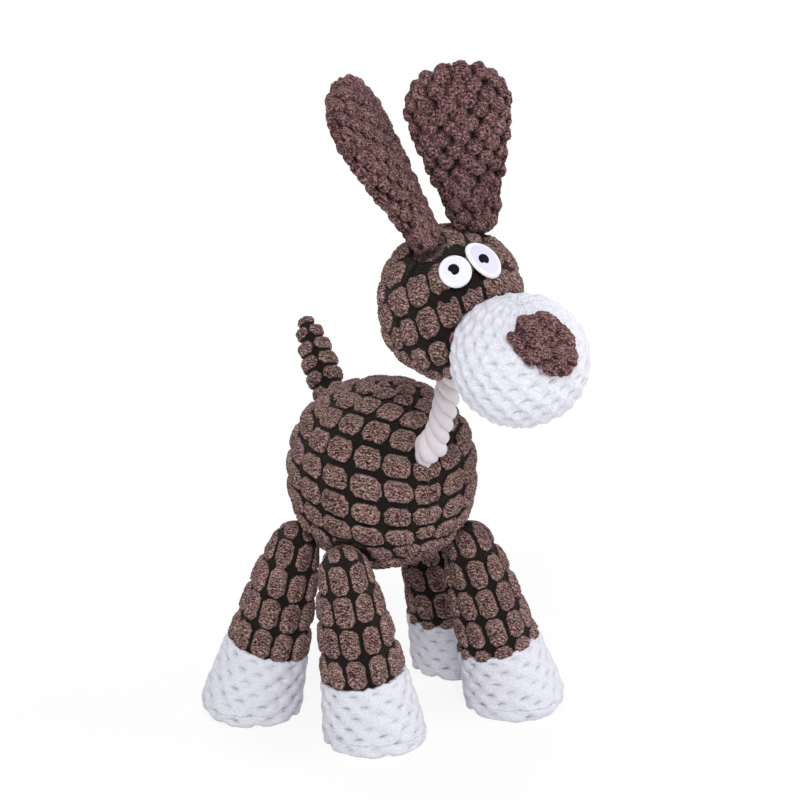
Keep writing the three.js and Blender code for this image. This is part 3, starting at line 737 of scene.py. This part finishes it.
def legPieces(name):
    hip = hips[name]
    axis = unit(point(mounts["sole_" + name]["pos_m"]) - hip)
    outward = unit(np.cross(np.cross(axis, towards * np.array([1, 1, 0])), axis))  # to the camera's side
    third = np.cross(axis, outward)
    middle = hip + axis * leg["middle"]

    def at(angle, way):
        s, r = np.interp(way, legWays, legAlong), np.interp(way, legWays, legRadius)
        places = hip + axis * s[..., None] + circled(angle, outward, third) * r[..., None]
        places[..., 2] = np.maximum(places[..., 2], leg["lift"])
        return places

    turns = np.linspace(0, 2 * np.pi, leg["seamGrid"][0])
    ways = np.linspace(cuffStart, legEnd, leg["seamGrid"][1])
    level = at(*np.meshgrid(turns, ways, indexing="ij"))[..., 2]
    seam = ways[np.argmax(level < leg["solePanel"], axis=1)]

    def seamAt(angle):  # where the sole's panel is sewn on
        return np.interp(np.mod(angle, 2 * np.pi), turns, seam)

    def coordinates(places):
        rel = places - hip
        s = rel @ axis
        angle = np.arctan2(rel @ third, rel @ outward)
        return s, angle, np.linalg.norm(rel - s[:, None] * axis, axis=1)

    def sleeveCloth(places):
        s, angle, r = coordinates(places)
        across = (angle + leg["columnTurn"][name]) * sideRadius(s)
        start = legTuft["length"] / 2 - (leg["cuff"] - leg["rowFromCuff"][name])
        height, tuft, pile = tufted(places, s + start, across, leg["seed"] + legNames.index(name), legTuft)
        gap = (np.pi - np.abs(angle)) * r  # the sleeve is sewn together along the side that faces away
        return rooted(drawnIn(height, gap, leg["sleevePull"], leg["groove"]), s, leg["root"]), tuft, pile

    def footCloth(places):
        s, angle, r = coordinates(places)
        pitch = 2 * np.pi / round(2 * np.pi * foot["radius"] / footBubbles["across"])
        across = angle / pitch * footBubbles["across"]
        beyond = np.hypot(s - foot["turnAt"], sideRadius(foot["turnAt"]) - r)
        t = np.where(s < foot["turnAt"], s, foot["turnAt"] + beyond)  # the rows go on under the sole
        height, tuft, pile = bubbled(places, across, t, foot["seed"], footBubbles)
        return height + foot["rise"], np.minimum(tuft, foot["tone"]), pile

    def sleevePlace(angle, share):
        return at(angle, cuffStart * share)

    def footPlace(angle, share):
        ring = np.stack([np.cos(angle), np.sin(angle), angle * 0], -1).reshape(-1, 3) * foot["raggedRing"]
        ragged = (1 + cloud(ring, 1.0, foot["raggedSeed"]).reshape(angle.shape)) / 2
        start = cuffStart - foot["ragged"] * ragged
        return at(angle, start + (seamAt(angle) - start) * share)

    def solePlace(angle, radius):
        return at(angle, legEnd + (seamAt(angle) - legEnd) * radius)

    body = "leg_" + name
    panel(
        "leg_plush_" + name, "leg_sleeve_" + name, body, tubeGrid(*leg["sleeveGrid"]), sleevePlace,
        middle, sleeveCloth,
    )
    panel(
        "foot_plush_" + name, "foot_cover_" + name, body, tubeGrid(*leg["footGrid"]), footPlace,
        middle, footCloth, edge=lambda share: share * foot["cuffToSole"] + foot["cuffEdge"],
        pull=foot["pull"], wall=foot["wall"],
    )
    panel(
        "sole_plush_" + name, "foot_sole_" + name, body, discGrid(leg["soleDetail"]), solePlace,
        middle, footCloth, wall=foot["soleWall"],
    )


for name in legNames:
    legPieces(name)
print("legs made")


# Tail: two halves.

tail = {
    "outline": [
        (-9.4, 0), (-8.4, 4), (-5, 8), (0, 9.4), (14, 10.2), (28, 9), (38.6, 6.8), (42.5, 5), (45, 0),
    ],
    "middle": 17, "lean": 36, "detail": 72, "soften": 3.0, "columns": 4, "columnTurn": 32, "rowStart": 3.0,
    "rise": 0.85, "root": {"before": 2, "reach": 9, "least": 0.3, "out": 0, "in": 0.6}, "seed": 91,
}
tailTuft = dict(tuftCloth, length=15.1, width=8.6, chamfer=2.6)
_, tailAlong, tailRadius = softened(tail["outline"], tail["soften"])
tailAxis = np.array([0, *cosSin(tail["lean"])[::-1]])
tailBack = np.array([0, tailAxis[2], -tailAxis[1]])


def tailPlace(side):
    low, mid, high = tail["outline"][0][0], tail["middle"], tail["outline"][-1][0]

    def place(angle, radius):
        reach = np.sin(radius * np.pi / 2)
        s = mid + reach * np.sin(angle) * np.where(np.sin(angle) >= 0, high - mid, mid - low)
        r = np.interp(s, tailAlong, tailRadius)
        d = reach * np.cos(angle) * r
        d = d / np.maximum(np.sqrt(np.maximum(1 - (reach * np.sin(angle)) ** 2, 1e-6)), 1e-3)
        d = np.clip(d, -r, r)
        out = np.sqrt(np.maximum(r * r - d * d, 0))[..., None] * np.array([side, 0, 0])
        return tailRoot + tailAxis * s[..., None] + tailBack * d[..., None] + out
    return place


def tailCloth(places):
    rel = places - tailRoot
    s = rel @ tailAxis
    turn = (np.arctan2(rel[:, 0], -(rel @ tailBack)) + math.radians(tail["columnTurn"])) / 2 / np.pi
    across = turn * tail["columns"] * tailTuft["length"]
    height, tuft, pile = tufted(places, across, s + tail["rowStart"], tail["seed"], tailTuft)
    return rooted(height * tail["rise"], s, tail["root"]), tuft, pile


for word, side in sides:
    panel(
        "tail_plush_" + word, "tail_cover_" + word, "tail", discGrid(tail["detail"]), tailPlace(side),
        tailRoot + tailAxis * tail["middle"], tailCloth,
    )
print("tail made")


# Head and muzzle, in the head's own frame.

head = {
    "halves": (34, 32, 36.5), "power": 2.25, "pitch": 14, "roll": -8, "yaw": 4, "mouthBack": -2,
    "frontGrid": (264, 44), "backDetail": 132, "seeds": (101, 105), "frontWidth": 30, "rimToMiddle": 53,
    "clothMiddle": (-45, 15), "clothRadius": 34.5, "tuftAt": (3.7, 3.0), "rowTurn": 33.4,
    "columnTurn": 112.8, "fold": 8.0, "low": 0.8, "neckRoom": 6, "pressNeck": 4, "pressEar": 1.8,
    "tuck": 0.035,  # radians of the front panel that go in under the muzzle
    "bare": (  # azimuth, elevation and radius of the patches round the eyes trimmed to the backing
        (-86, 47.5, 4.2), (-56, 65, 3.8), (-27, 71, 4.2), (-15, 42, 3.2), (-44, 32, 2.8), (-55, 28, 2.6),
        (-29, 37, 2.8),
    ),
    "bareEdge": 1.4, "bareRagged": 0.8, "bareLumps": 2.5, "earEdge": 0.97,
}
muzzle = {
    "halves": (31.5, 31.5, 30), "power": 2.15, "ahead": 51, "down": 6.5, "detail": 160, "low": 0.5,
    "rowTurn": 10, "clothRadius": 31, "rowsMeet": 1.62, "rimToMiddle": 60, "pull": 0.8, "wall": 4.6,
    "seed": 121,
}
ear = {
    "rootHalf": 12.2, "rootRadius": 7.6, "length": 82, "thick": 9, "middle": 44, "square": 2.35,
    "waist": (13.5, 12), "upper": (19.6, 35), "broad": (24, 58),  # half width, and how high
    "spread": 14.5, "standoff": 3, "back": 3, "roomier": 0.7, "detail": 104, "rimToMiddle": 26, "pull": 0.9,
    "inner": (0.89, 0.12),  # the lining's outline and depth, as shares of the outside's
    "left": {"lean": -13, "tilt": 0, "yaw": -33}, "right": {"lean": 25, "tilt": -18, "yaw": 45},
    "levels": 400, "blend": 31, "keep": 20, "seed": 141,
    "root": {"before": 1, "reach": 10, "least": 0.3, "out": 0.8, "in": 0.5},
}
headTuft = dict(tuftCloth, length=17.2, width=13.2, gapLong=1.8, gapShort=2.2, chamfer=3.0)
muzzleBubbles = dict(
    bubbleCloth, across=9.2, row=6.1, height=1.75, sharp=0.8, pitHalf=(3.0, 0.7), pitDepth=1.1, pitDark=0.5,
)


def turned(degrees, letter):
    return Matrix.Rotation(math.radians(degrees), 4, letter)


def ballHeight(ball, x, y):
    used = (abs(x) / ball["halves"][0]) ** ball["power"] + (abs(y) / ball["halves"][1]) ** ball["power"]
    return ball["halves"][2] * (1 - used) ** (1 / ball["power"])


headRoot = jointAt("head_turn")
headTurn = turned(head["yaw"], "Z") @ turned(head["roll"], "Y") @ turned(head["pitch"], "X")
mouth = Vector((0, head["mouthBack"], -ballHeight(head, 0, head["mouthBack"])))
headFrame = Matrix.Translation(Vector(headRoot) - headTurn @ mouth) @ headTurn
headAxes = np.array(headTurn.to_3x3())
headMiddle = np.array(headFrame.translation)
muzzleMiddle = np.array([0, -muzzle["ahead"], -muzzle["down"]], float)


def toWorld(places):  # from the head's own frame
    return headMiddle + places @ headAxes.T


def toHead(places):
    return (places - headMiddle) @ headAxes


def earFrame(side):
    pose = ear["left" if side > 0 else "right"]
    turn = turned(side * pose["lean"], "Y") @ turned(pose["tilt"], "X") @ turned(pose["yaw"], "Z")
    up = ballHeight(head, ear["spread"], ear["back"]) + ear["standoff"]
    return Matrix.Translation((side * ear["spread"], ear["back"], up)) @ turn


def earRoom(side):
    across, deep = ear["rootHalf"] + ear["roomier"], ear["rootRadius"] + ear["roomier"]
    return (earFrame(side) @ Matrix.Diagonal((across, deep, deep, 1))).inverted()


def headSkin(direction):
    distance = ballDistance(direction, head)
    for side in (1, -1):
        distance = dent(distance, direction, earRoom(side))
    return toWorld(direction * distance[..., None])


seamSearch = {"points": 241, "halvings": 30, "from": 0.05, "head": 1.4, "muzzle": 1.9}  # in radians


def seamTilt(angles, axis, ball, middle, other, otherMiddle, most):
    # how far from `axis` a ball's skin meets another ball, for each angle round it
    low, high = np.full(len(angles), seamSearch["from"]), np.full(len(angles), most)
    for _ in range(seamSearch["halvings"]):
        half = (low + high) / 2
        direction = spread(angles, half, axis, rightward)
        places = middle + direction * ballDistance(direction, ball)[..., None]
        reached = np.abs((places - otherMiddle) / np.array(other["halves"])) ** other["power"]
        inside = reached.sum(-1) < 1
        low, high = np.where(inside, half, low), np.where(inside, high, half)
    return (low + high) / 2


forward, backward, rightward = (0, -1, 0), (0, 1, 0), (1, 0, 0)
turns = np.linspace(0, 2 * np.pi, seamSearch["points"])
headSeam = seamTilt(turns, forward, head, 0, muzzle, muzzleMiddle, seamSearch["head"])
muzzleSeam = seamTilt(turns, backward, muzzle, muzzleMiddle, head, 0, seamSearch["muzzle"])


def headFront(angle, share):
    start = np.interp(np.mod(angle, 2 * np.pi), turns, headSeam) - head["tuck"]
    return headSkin(spread(angle, start + (np.pi / 2 - start) * share, forward, rightward))


def headBack(angle, radius):
    return headSkin(spread(angle, radius * np.pi / 2, backward, rightward))


def muzzlePlace(angle, radius):
    seam = np.pi - np.interp(np.mod(np.pi - angle, 2 * np.pi), turns, muzzleSeam)
    direction = spread(angle, seam * radius, forward, rightward)
    return toWorld(muzzleMiddle + direction * ballDistance(direction, muzzle)[..., None])


def headCloth(places, seed):
    rel, radius = toHead(places), head["clothRadius"]
    folded = np.stack([head["fold"] - np.abs(rel[:, 0] - head["fold"]), -np.abs(rel[:, 1]), rel[:, 2]], -1)
    way, direction = unit(folded), facing(*head["clothMiddle"])
    flat = unrolled(way, direction) * radius
    u, v = (way @ part * flat - start for part, start in zip(levelAndUp(direction), head["tuftAt"]))
    rowX, rowY = cosSin(head["rowTurn"])
    columnX, columnY = cosSin(head["columnTurn"])
    between = cosSin(head["columnTurn"] - head["rowTurn"])[1]
    s, t = (u * columnY - v * columnX) / between, (v * rowX - u * rowY) / between
    values = tufted(places, t + headTuft["length"] / 2, s + headTuft["width"] / 2, seed, headTuft)
    height, tuft, pile = pressed(values, places, [(headRoot, head["neckRoom"], head["pressNeck"])])
    for side in (1, -1):  # the cloth goes in under each ear
        room = np.array(earRoom(side))
        away = np.linalg.norm(rel @ room[:3, :3].T + room[:3, 3], axis=-1) - head["earEdge"]
        height = flattened(height, smooth(away * ear["rootRadius"] / head["pressEar"]))
    way, ragged = unit(rel), head["bareRagged"] * cloud(places, head["bareLumps"], seed + 9)
    for azimuth, elevation, reach in head["bare"]:
        away = np.arccos(np.clip(way @ facing(azimuth, elevation), -1, 1)) * radius
        share = smooth((away - reach + ragged) / head["bareEdge"])
        height, tuft = height * share - headTuft["height"] * (1 - share), tuft * share
    return height - head["low"], tuft, pile


def muzzleCloth(places):
    rel, radius = toHead(places) - muzzleMiddle, muzzle["clothRadius"]
    up = np.arcsin(np.clip(rel[:, 2] / np.linalg.norm(rel, axis=-1), -1, 1))
    narrow = np.clip(np.sqrt(1 - (up / muzzle["rowsMeet"]) ** 2), 0.3, 1)
    s, t = np.arctan2(rel[:, 0], -rel[:, 1]) * radius * narrow, up * radius
    x, y = cosSin(muzzle["rowTurn"])
    height, tuft, pile = bubbled(places, s * x + t * y, t * x - s * y, muzzle["seed"], muzzleBubbles)
    return height - muzzle["low"], tuft, pile


panel(
    "head_plush_front", "head_cover_front", "head", tubeGrid(*head["frontGrid"]), headFront, headMiddle,
    lambda places: headCloth(places, head["seeds"][0]),
    edge=lambda share: np.minimum(share * head["frontWidth"] + 1, (1 - share) * head["frontWidth"]),
)
panel(
    "head_plush_back", "head_cover_back", "head", discGrid(head["backDetail"]), headBack, headMiddle,
    lambda places: headCloth(places, head["seeds"][1]),
    edge=lambda radius: (1 - radius) * head["rimToMiddle"],
)
panel(
    "muzzle_plush", "muzzle_cover", "head", discGrid(muzzle["detail"]), muzzlePlace,
    toWorld(muzzleMiddle), muzzleCloth, edge=lambda radius: (1 - radius) * muzzle["rimToMiddle"],
    pull=muzzle["pull"], wall=muzzle["wall"],
)
print("head made")


# Nose and eyes, sewn on.

def onBall(ball, middle, spot, x, y):  # a place x across and y up from a spot on a ball, and its direction
    direction = facing(spot["azimuth"], spot["elevation"])
    level, up = levelAndUp(direction)
    c, s = cosSin(spot["turn"])
    x, y = x * c + y * s, y * c - x * s
    way = unit(direction * ballDistance(direction, ball) + level * x[..., None] + up * y[..., None])
    return middle + way * ballDistance(way, ball)[..., None], way


nose = {
    "azimuth": -13.6, "elevation": 43, "turn": 50, "halves": (20.2, 14.8), "rise": 3.4, "detail": 88,
    "lobes": (0.07, 0.03), "stretch": 1.2, "seed": 131, "wall": 3.1, "fill": 0.5,
}
noseCloth = dict(nubCloth, across=8.4, row=5.8, height=2.4, wander=0.5, spread=0.5, dark=(-0.5, 0.6))


def nosePlace(angle, radius):
    broad, small = nose["lobes"]
    reach = radius * (1 + broad * np.cos(3 * angle + 0.6) + small * np.sin(7 * angle))
    x, y = reach * nose["halves"][0] * np.cos(angle), reach * nose["halves"][1] * np.sin(angle)
    places, way = onBall(muzzle, muzzleMiddle, nose, x, y)
    return toWorld(places + way * (nose["rise"] * np.sqrt(np.clip(1 - radius ** 6, 0, 1)))[..., None])


def nosePile(places):
    rel = toHead(places) - muzzleMiddle
    height, tuft, pile = nubbed(places, rel[:, 0], rel[:, 2] * nose["stretch"], nose["seed"], noseCloth)
    # painted shade makes the pile darker between the nose's nubs; no backing shows
    return height, np.ones_like(tuft), pile * rising(0.5, tuft)


panel(
    "nose_plush", "nose_patch", "head", discGrid(nose["detail"]), nosePlace, toWorld(muzzleMiddle), nosePile,
    wall=nose["wall"],
)

threads = {  # darkest and lightest stitch, the rim's colour, and the stitches' pitch in mm
    "whiteThread": {
        "low": (200, 201, 214), "high": (229, 230, 240), "rim": (232, 233, 242),
        "pitch": 0.8286, "shine": 0.3,
    },
    "lilacThread": {
        "low": (192, 188, 224), "high": (220, 216, 244), "rim": (232, 233, 242),
        "pitch": 0.8286, "shine": 0.3,
    },
    "blackThread": {
        "low": (6, 6, 14), "high": (20, 20, 34), "rim": (8, 8, 16), "pitch": 0.9865, "shine": 0.06,
    },
}
eyes = {
    "right": {
        "azimuth": -35.6, "elevation": 50, "turn": 0, "halves": (7.5, 7.7), "pupilAt": (-0.9, 0.3),
        "thread": "whiteThread",
    },
    "left": {
        "azimuth": 4.5, "elevation": 56, "turn": -19, "halves": (7.1, 10.2), "pupilAt": (-1.0, 0.2),
        "thread": "lilacThread",
    },
}
eyeWhite = {"low": 0.6, "rise": 1.0, "hem": 0.2, "detail": 64}
pupil = {"halves": (2.5, 2.5), "low": 1.6, "rise": 0.6, "hem": 0, "detail": 24}
pupilNotch = {"angle": 3.95, "half": 0.5, "depth": 0.36}  # a few stitches are left out at its lower side
hem = {"at": 0.87, "half": 0.1, "stitch": 0.2, "perMm": 8, "under": 0.4}


def threadMaterial(name, tone):
    look = Look(name)
    stitch = look.wave(tone["pitch"], 2.5, 4.0) * 0.45 + look.noise(0.6, 1, 0.5) * 0.75
    colour = look.mix(stitch, linear(*tone["low"]), linear(*tone["high"]))
    return look.finish(
        Base_Color=look.mix(look.attribute("rim"), colour, linear(*tone["rim"])), Roughness=0.6,
        Normal=look.bump(stitch, 0.0002, 0.7), Sheen_Weight=0.3 * tone["shine"],
        Specular_IOR_Level=tone["shine"],
    )


threadLook = {name: threadMaterial(name, tone) for name, tone in threads.items()}


def sewnDisc(name, node, thread, eye, form, halves, aside=(0, 0)):
    grid = discGrid(form["detail"])
    angle, radius = grid["angle"], grid["radius"]
    notch = 0 if form["hem"] else np.exp(-(((angle - pupilNotch["angle"]) / pupilNotch["half"]) ** 2))
    reach = radius * (1 - pupilNotch["depth"] * notch)
    x, y = aside[0] + reach * halves[0] * np.cos(angle), aside[1] + reach * halves[1] * np.sin(angle)
    spot, way = onBall(head, np.zeros(3), eye, x, y)
    rim = np.exp(-(((radius - hem["at"]) / hem["half"]) ** 4))
    lift = form["low"] + form["rise"] * np.sqrt(np.clip(1 - radius ** 4, 0, 1)) + form["hem"] * rim
    if form["hem"]:
        lift = lift + hem["stitch"] * np.cos(angle * round(halves[0] * hem["perMm"])) * rim
    top, under = toWorld(spot + way * lift[..., None]), toWorld(spot + way * (form["low"] - hem["under"]))
    rims = {"rim": np.where(radius > hem["at"], 1, rim)}
    linedPiece(name, node, "head", False, top, under, threadLook[thread], rims, 1.0)


for word, eye in eyes.items():
    sewnDisc("eye_thread_" + word, "eye_white_" + word, eye["thread"], eye, eyeWhite, eye["halves"])
    sewnDisc(
        "pupil_thread_" + word, "eye_pupil_" + word, "blackThread", eye, pupil, pupil["halves"],
        eye["pupilAt"],
    )
print("nose and eyes made")


# Ears: two padded panels each. z is the height above the ear's pivot.

def earHalf(z):
    waistHalf, waistAt = ear["waist"]
    upperHalf, upperAt = ear["upper"]
    broadHalf, broadAt = ear["broad"]
    low = np.interp(z, [0, waistAt, upperAt, broadAt], [ear["rootHalf"], waistHalf, upperHalf, broadHalf])
    root = ear["rootHalf"] * np.sqrt(np.clip(1 - (z / ear["rootRadius"]) ** 2, 0, 1))
    crown = np.clip((z - broadAt) / (ear["length"] - broadAt), 0, 1)
    top = broadHalf * (1 - crown ** ear["square"]) ** (1 / ear["square"])
    return np.where(z < 0, root, np.where(z > broadAt, top, low))


earLevels = np.linspace(-ear["rootRadius"], ear["length"], ear["levels"])
earHalves = earHalf(earLevels)
blended = np.convolve(earHalves, np.hanning(ear["blend"]) / np.hanning(ear["blend"]).sum(), "same")
earHalves[ear["keep"]:-ear["keep"]] = blended[ear["keep"]:-ear["keep"]]


def earRim(angle):  # distance from the ear's middle to its outline, for each direction
    levels = np.append(earLevels, earLevels[::-1]) - ear["middle"]
    halves = np.append(earHalves, -earHalves[::-1])
    way = np.arctan2(levels, halves)
    order = np.argsort(way)
    return np.interp(angle, way[order], np.hypot(levels, halves)[order], period=2 * np.pi)


def earPanel(word, side, face, sign):
    earAt = headFrame @ earFrame(side)
    axes, start = np.array(earAt.to_3x3()), np.array(earAt.translation)

    def place(angle, radius, share=1, depth=1):
        reach = np.sin(radius * np.pi / 2) * earRim(angle) * share
        x, z = reach * np.cos(angle), ear["middle"] + reach * np.sin(angle)
        half = np.interp(z, earLevels, earHalves)
        along = np.sqrt(np.clip(z / ear["broad"][1], 0, 1))
        flat = ear["rootRadius"] / ear["rootHalf"] * (1 - along) + ear["thick"] / ear["broad"][0] * along
        y = sign * flat * np.sqrt(np.clip(half * half - x * x, 0, None)) * depth
        return start + np.stack([x, y, z], -1) @ axes.T

    def cloth(places):
        rel = (places - start) @ axes
        half = np.interp(rel[:, 2], earLevels, earHalves)
        bend = np.arcsin(np.clip(rel[:, 0] / np.maximum(half, 1), -1, 1))
        s = rel[:, 0] * 0.6 + 0.5 * half * bend  # between the flat width and the way over the padding
        height, tuft, pile = nubbed(places, s, rel[:, 2], ear["seed"] + side * 3 + sign, nubCloth)
        return rooted(height, rel[:, 2], ear["root"]), tuft, pile

    panel(
        f"ear_plush_{face}_{word}", f"ear_{face}_{word}", "ear_" + word, discGrid(ear["detail"]), place,
        start + axes @ np.array([0, 0, ear["middle"]]), cloth,
        edge=lambda radius: (1 - radius) * ear["rimToMiddle"], pull=ear["pull"],
        inner=lambda angle, radius: place(angle, radius, *ear["inner"]),
    )


for (word, side), (face, sign) in product(sides, (("face", -1), ("back", 1))):
    earPanel(word, side, face, sign)
print("ears made")


# Rope neck: three twisted strands of cotton, knotted inside the torso and the head.

rope = {
    "radius": 6.3, "strand": 3.1, "lay": 21.0, "turn": 0.5, "lean": 45, "inside": 17.6,
    "knotAt": 5.1, "knotReach": 4.4, "knotSpread": 0.34, "knotSwell": 0.16,
    "swell": 0.32, "swellAt": 3, "swellReach": 6.5, "swellFrom": 0.4, "swellRise": 3.5,
    "sides": 30, "steps": 150, "bowPoints": 200, "endPoints": 20, "endSquare": 30,
    "grooveAt": 0.5, "grooveGain": 2.2, "low": (181, 173, 177), "high": (215, 208, 213),
}


def ropeMaterial():
    look = Look("twistedCotton")
    soft, fibre = look.noise(4.0, 2, 0.6), look.noise(0.7, 2, 0.6)
    # the low colour is painted shade, in the grooves between the strands
    level = look.ramp(look.attribute("pile") + soft * 0.3 + fibre * 0.5, 0.2, 1.5)
    return look.finish(
        Base_Color=look.mix(level, linear(*rope["low"]), linear(*rope["high"])), Roughness=0.9,
        Normal=look.bump(fibre, 0.0006, 0.8), Sheen_Weight=0.1, Specular_IOR_Level=0.2,
    )


def ropeRoute():  # straight inside the torso and the head, and one curve between them
    topAxis = np.array(joints["head_turn"]["axis"], float)
    forwards, upwards = cosSin(rope["lean"])
    rootAxis = np.array([0, -forwards, upwards])
    bow = np.linalg.norm(headRoot - neckRoot) / 3
    controls = [neckRoot, neckRoot + rootAxis * bow, headRoot - topAxis * bow, headRoot]
    t = np.linspace(0, 1, rope["bowPoints"])[:, None]
    weights = ((1 - t) ** 3, 3 * t * (1 - t) ** 2, 3 * t * t * (1 - t), t ** 3)
    free = sum(control * weight for control, weight in zip(controls, weights))
    hidden = np.linspace(0, rope["inside"], rope["endPoints"])[:, None]
    first, last = neckRoot - rootAxis * hidden[:0:-1], headRoot + topAxis * hidden[1:]
    route = np.concatenate([first, free, last])
    lengths = runLength(route)
    at = np.linspace(0, lengths[-1], rope["steps"])
    return np.stack([np.interp(at, lengths, route[:, k]) for k in range(3)], -1), at


def ropePiece():
    centre, at = ropeRoute()
    across = unit(np.cross(unit(np.gradient(centre, axis=0)), (1.0, 0, 0)))
    third = np.cross(unit(np.gradient(centre, axis=0)), across)
    ends, shown = np.minimum(at, at[-1] - at), at - rope["inside"]
    knotted = np.exp(-(((ends - rope["knotAt"]) / rope["knotReach"]) ** 4))
    swollen = rope["swell"] * np.exp(-(((shown - rope["swellAt"]) / rope["swellReach"]) ** 2))
    swollen = swollen * smooth((shown - rope["swellFrom"]) / rope["swellRise"])  # not in the torso's mouth
    closing = np.sqrt(np.clip(1 - np.abs(2 * at / at[-1] - 1) ** rope["endSquare"], 0, 1))
    offset = (rope["radius"] - rope["strand"]) * (1 + rope["knotSpread"] * knotted + swollen)
    thick = rope["strand"] * (1 + rope["knotSwell"] * knotted + swollen) * closing
    angle = np.arange(rope["sides"]) * 2 * np.pi / rope["sides"]
    points, faces, depth = [], [], []
    for k in range(3):
        turn = 2 * np.pi * (k / 3 - at / rope["lay"]) + rope["turn"]
        middle = centre + circled(turn, across, third) * offset[:, None]
        way = unit(np.gradient(middle, axis=0))
        first = unit(middle - centre)
        first = unit(first - way * (first * way).sum(1, keepdims=True))
        ring = circled(angle, first[:, None], np.cross(way, first)[:, None])
        ring = middle[:, None] + ring * thick[:, None, None]
        index = np.arange(ring[..., 0].size).reshape(ring.shape[:2]) + k * ring[..., 0].size
        faces += quads(index.T, True).tolist()
        faces += [index[0].tolist(), index[-1].tolist()]
        points.append(ring.reshape(-1, 3))
        # painted shade: each strand darkens towards the rope's middle, in the grooves between strands
        level = np.linalg.norm(ring - centre[:, None], axis=-1) / rope["radius"]
        depth.append(np.clip((level - rope["grooveAt"]) * rope["grooveGain"], 0, 1).reshape(-1))
    points, grooveShading = np.concatenate(points), {"pile": np.concatenate(depth)}
    makePiece("neck_strands", "neck_rope", "neck", points, faces, ropeMaterial(), grooveShading)


ropePiece()
print("rope made")


# What is inside keeps its CAD shape, apart from the squeaker's bulb.

def fillingMaterial():
    look = Look("fibreFilling")
    fibre, clump = look.noise(0.8, 4, 0.7), look.noise(9, 2, 0.5)
    level = look.ramp(fibre * 0.6 + clump * 0.6, 0.3, 0.9)
    colour = look.mix(level, linear(214, 210, 200), linear(246, 244, 238))
    relief = look.bump(fibre, 0.0012, 0.9)
    return look.finish(Base_Color=colour, Roughness=1.0, Normal=relief, Sheen_Weight=0.2)


def filmMaterial():
    look = Look("crinkleFilm")
    values = {"Vector": look.place(), "Scale": 260.0}
    crease = look.node("ShaderNodeTexVoronoi", {"feature": "DISTANCE_TO_EDGE"}, values)
    # the colour is darker along the creases: painted shade
    colour = look.mix(look.ramp(crease, 0.0, 0.25), linear(168, 174, 184), linear(218, 222, 228))
    return look.finish(Base_Color=colour, Roughness=0.28, Normal=look.bump(crease, 0.0004, 0.9))


def mouldedMaterial(name, low, high, rough):
    look = Look(name)
    cloudy, grain = look.noise(6, 2, 0.5), look.noise(0.5, 1, 0.5)
    return look.finish(
        Base_Color=look.mix(cloudy, linear(*low), linear(*high)), Roughness=rough + grain * 0.12,
        Normal=look.bump(grain, 0.00005, 0.4),
    )


insideLook = {
    "filling": fillingMaterial(), "crinkle_film": filmMaterial(),
    "bulb_plastic": mouldedMaterial("blownPlastic", (216, 208, 188), (238, 232, 214), 0.38),
    "reed_plastic": mouldedMaterial("reedPlastic", (228, 228, 228), (248, 248, 248), 0.3),
}
for node, slot in slotOf.items():
    if slot in insideLook:
        materials = frame["nodes"][node].data.materials
        materials.clear()
        materials.append(insideLook[slot])
print("inside parts dressed")


# Squeaker: its bulb, a hollow shell with a neck.

bulb = {"halfHeight": 10.0, "wall": 1.1, "neck": 6.4, "bore": 4.95, "sides": 64, "steps": 28}


def bowl(radius, height, opening):  # half a bulb's section, from its bottom up to the opening
    angle = np.linspace(0, np.pi - math.asin(opening / radius), bulb["steps"])
    return np.stack([radius * np.sin(angle), -height * np.cos(angle)], -1)


def bulbPiece():
    low, high = boxOf("squeaker_bulb")
    middle, radius, rise = (low + high) / 2, (high[0] - low[0]) / 2, bulb["halfHeight"]
    lip = high[2] - low[2] - rise
    outside = bowl(radius, rise, bulb["neck"])
    inside = bowl(radius - bulb["wall"], rise - bulb["wall"], bulb["bore"])
    profile = np.concatenate([outside, [[bulb["neck"], lip], [bulb["bore"], lip]], inside[::-1]])
    angle = (np.arange(bulb["sides"]) * 2 * np.pi / bulb["sides"])[:, None]
    across = circled(angle, np.array([1, 0, 0]), np.array([0, 1, 0])) * profile[:, :1]
    points = across + profile[:, 1:] * np.array([0, 0, 1]) + np.array([middle[0], middle[1], low[2] + rise])
    cells = np.arange(points[..., 0].size).reshape(points.shape[:2])
    points, faces, look = points.reshape(-1, 3), quads(cells, True).tolist(), insideLook["bulb_plastic"]
    piece = makePiece("bulb_shell", "squeaker_bulb", "torso", points, faces, look)
    travel = max(abs(end) for end in joints["squeak_press"]["range_m"]) * perMetre
    1 - travel / (high[2] - low[2])
    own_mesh(piece)


bulbPiece()
print("squeaker bulb made")
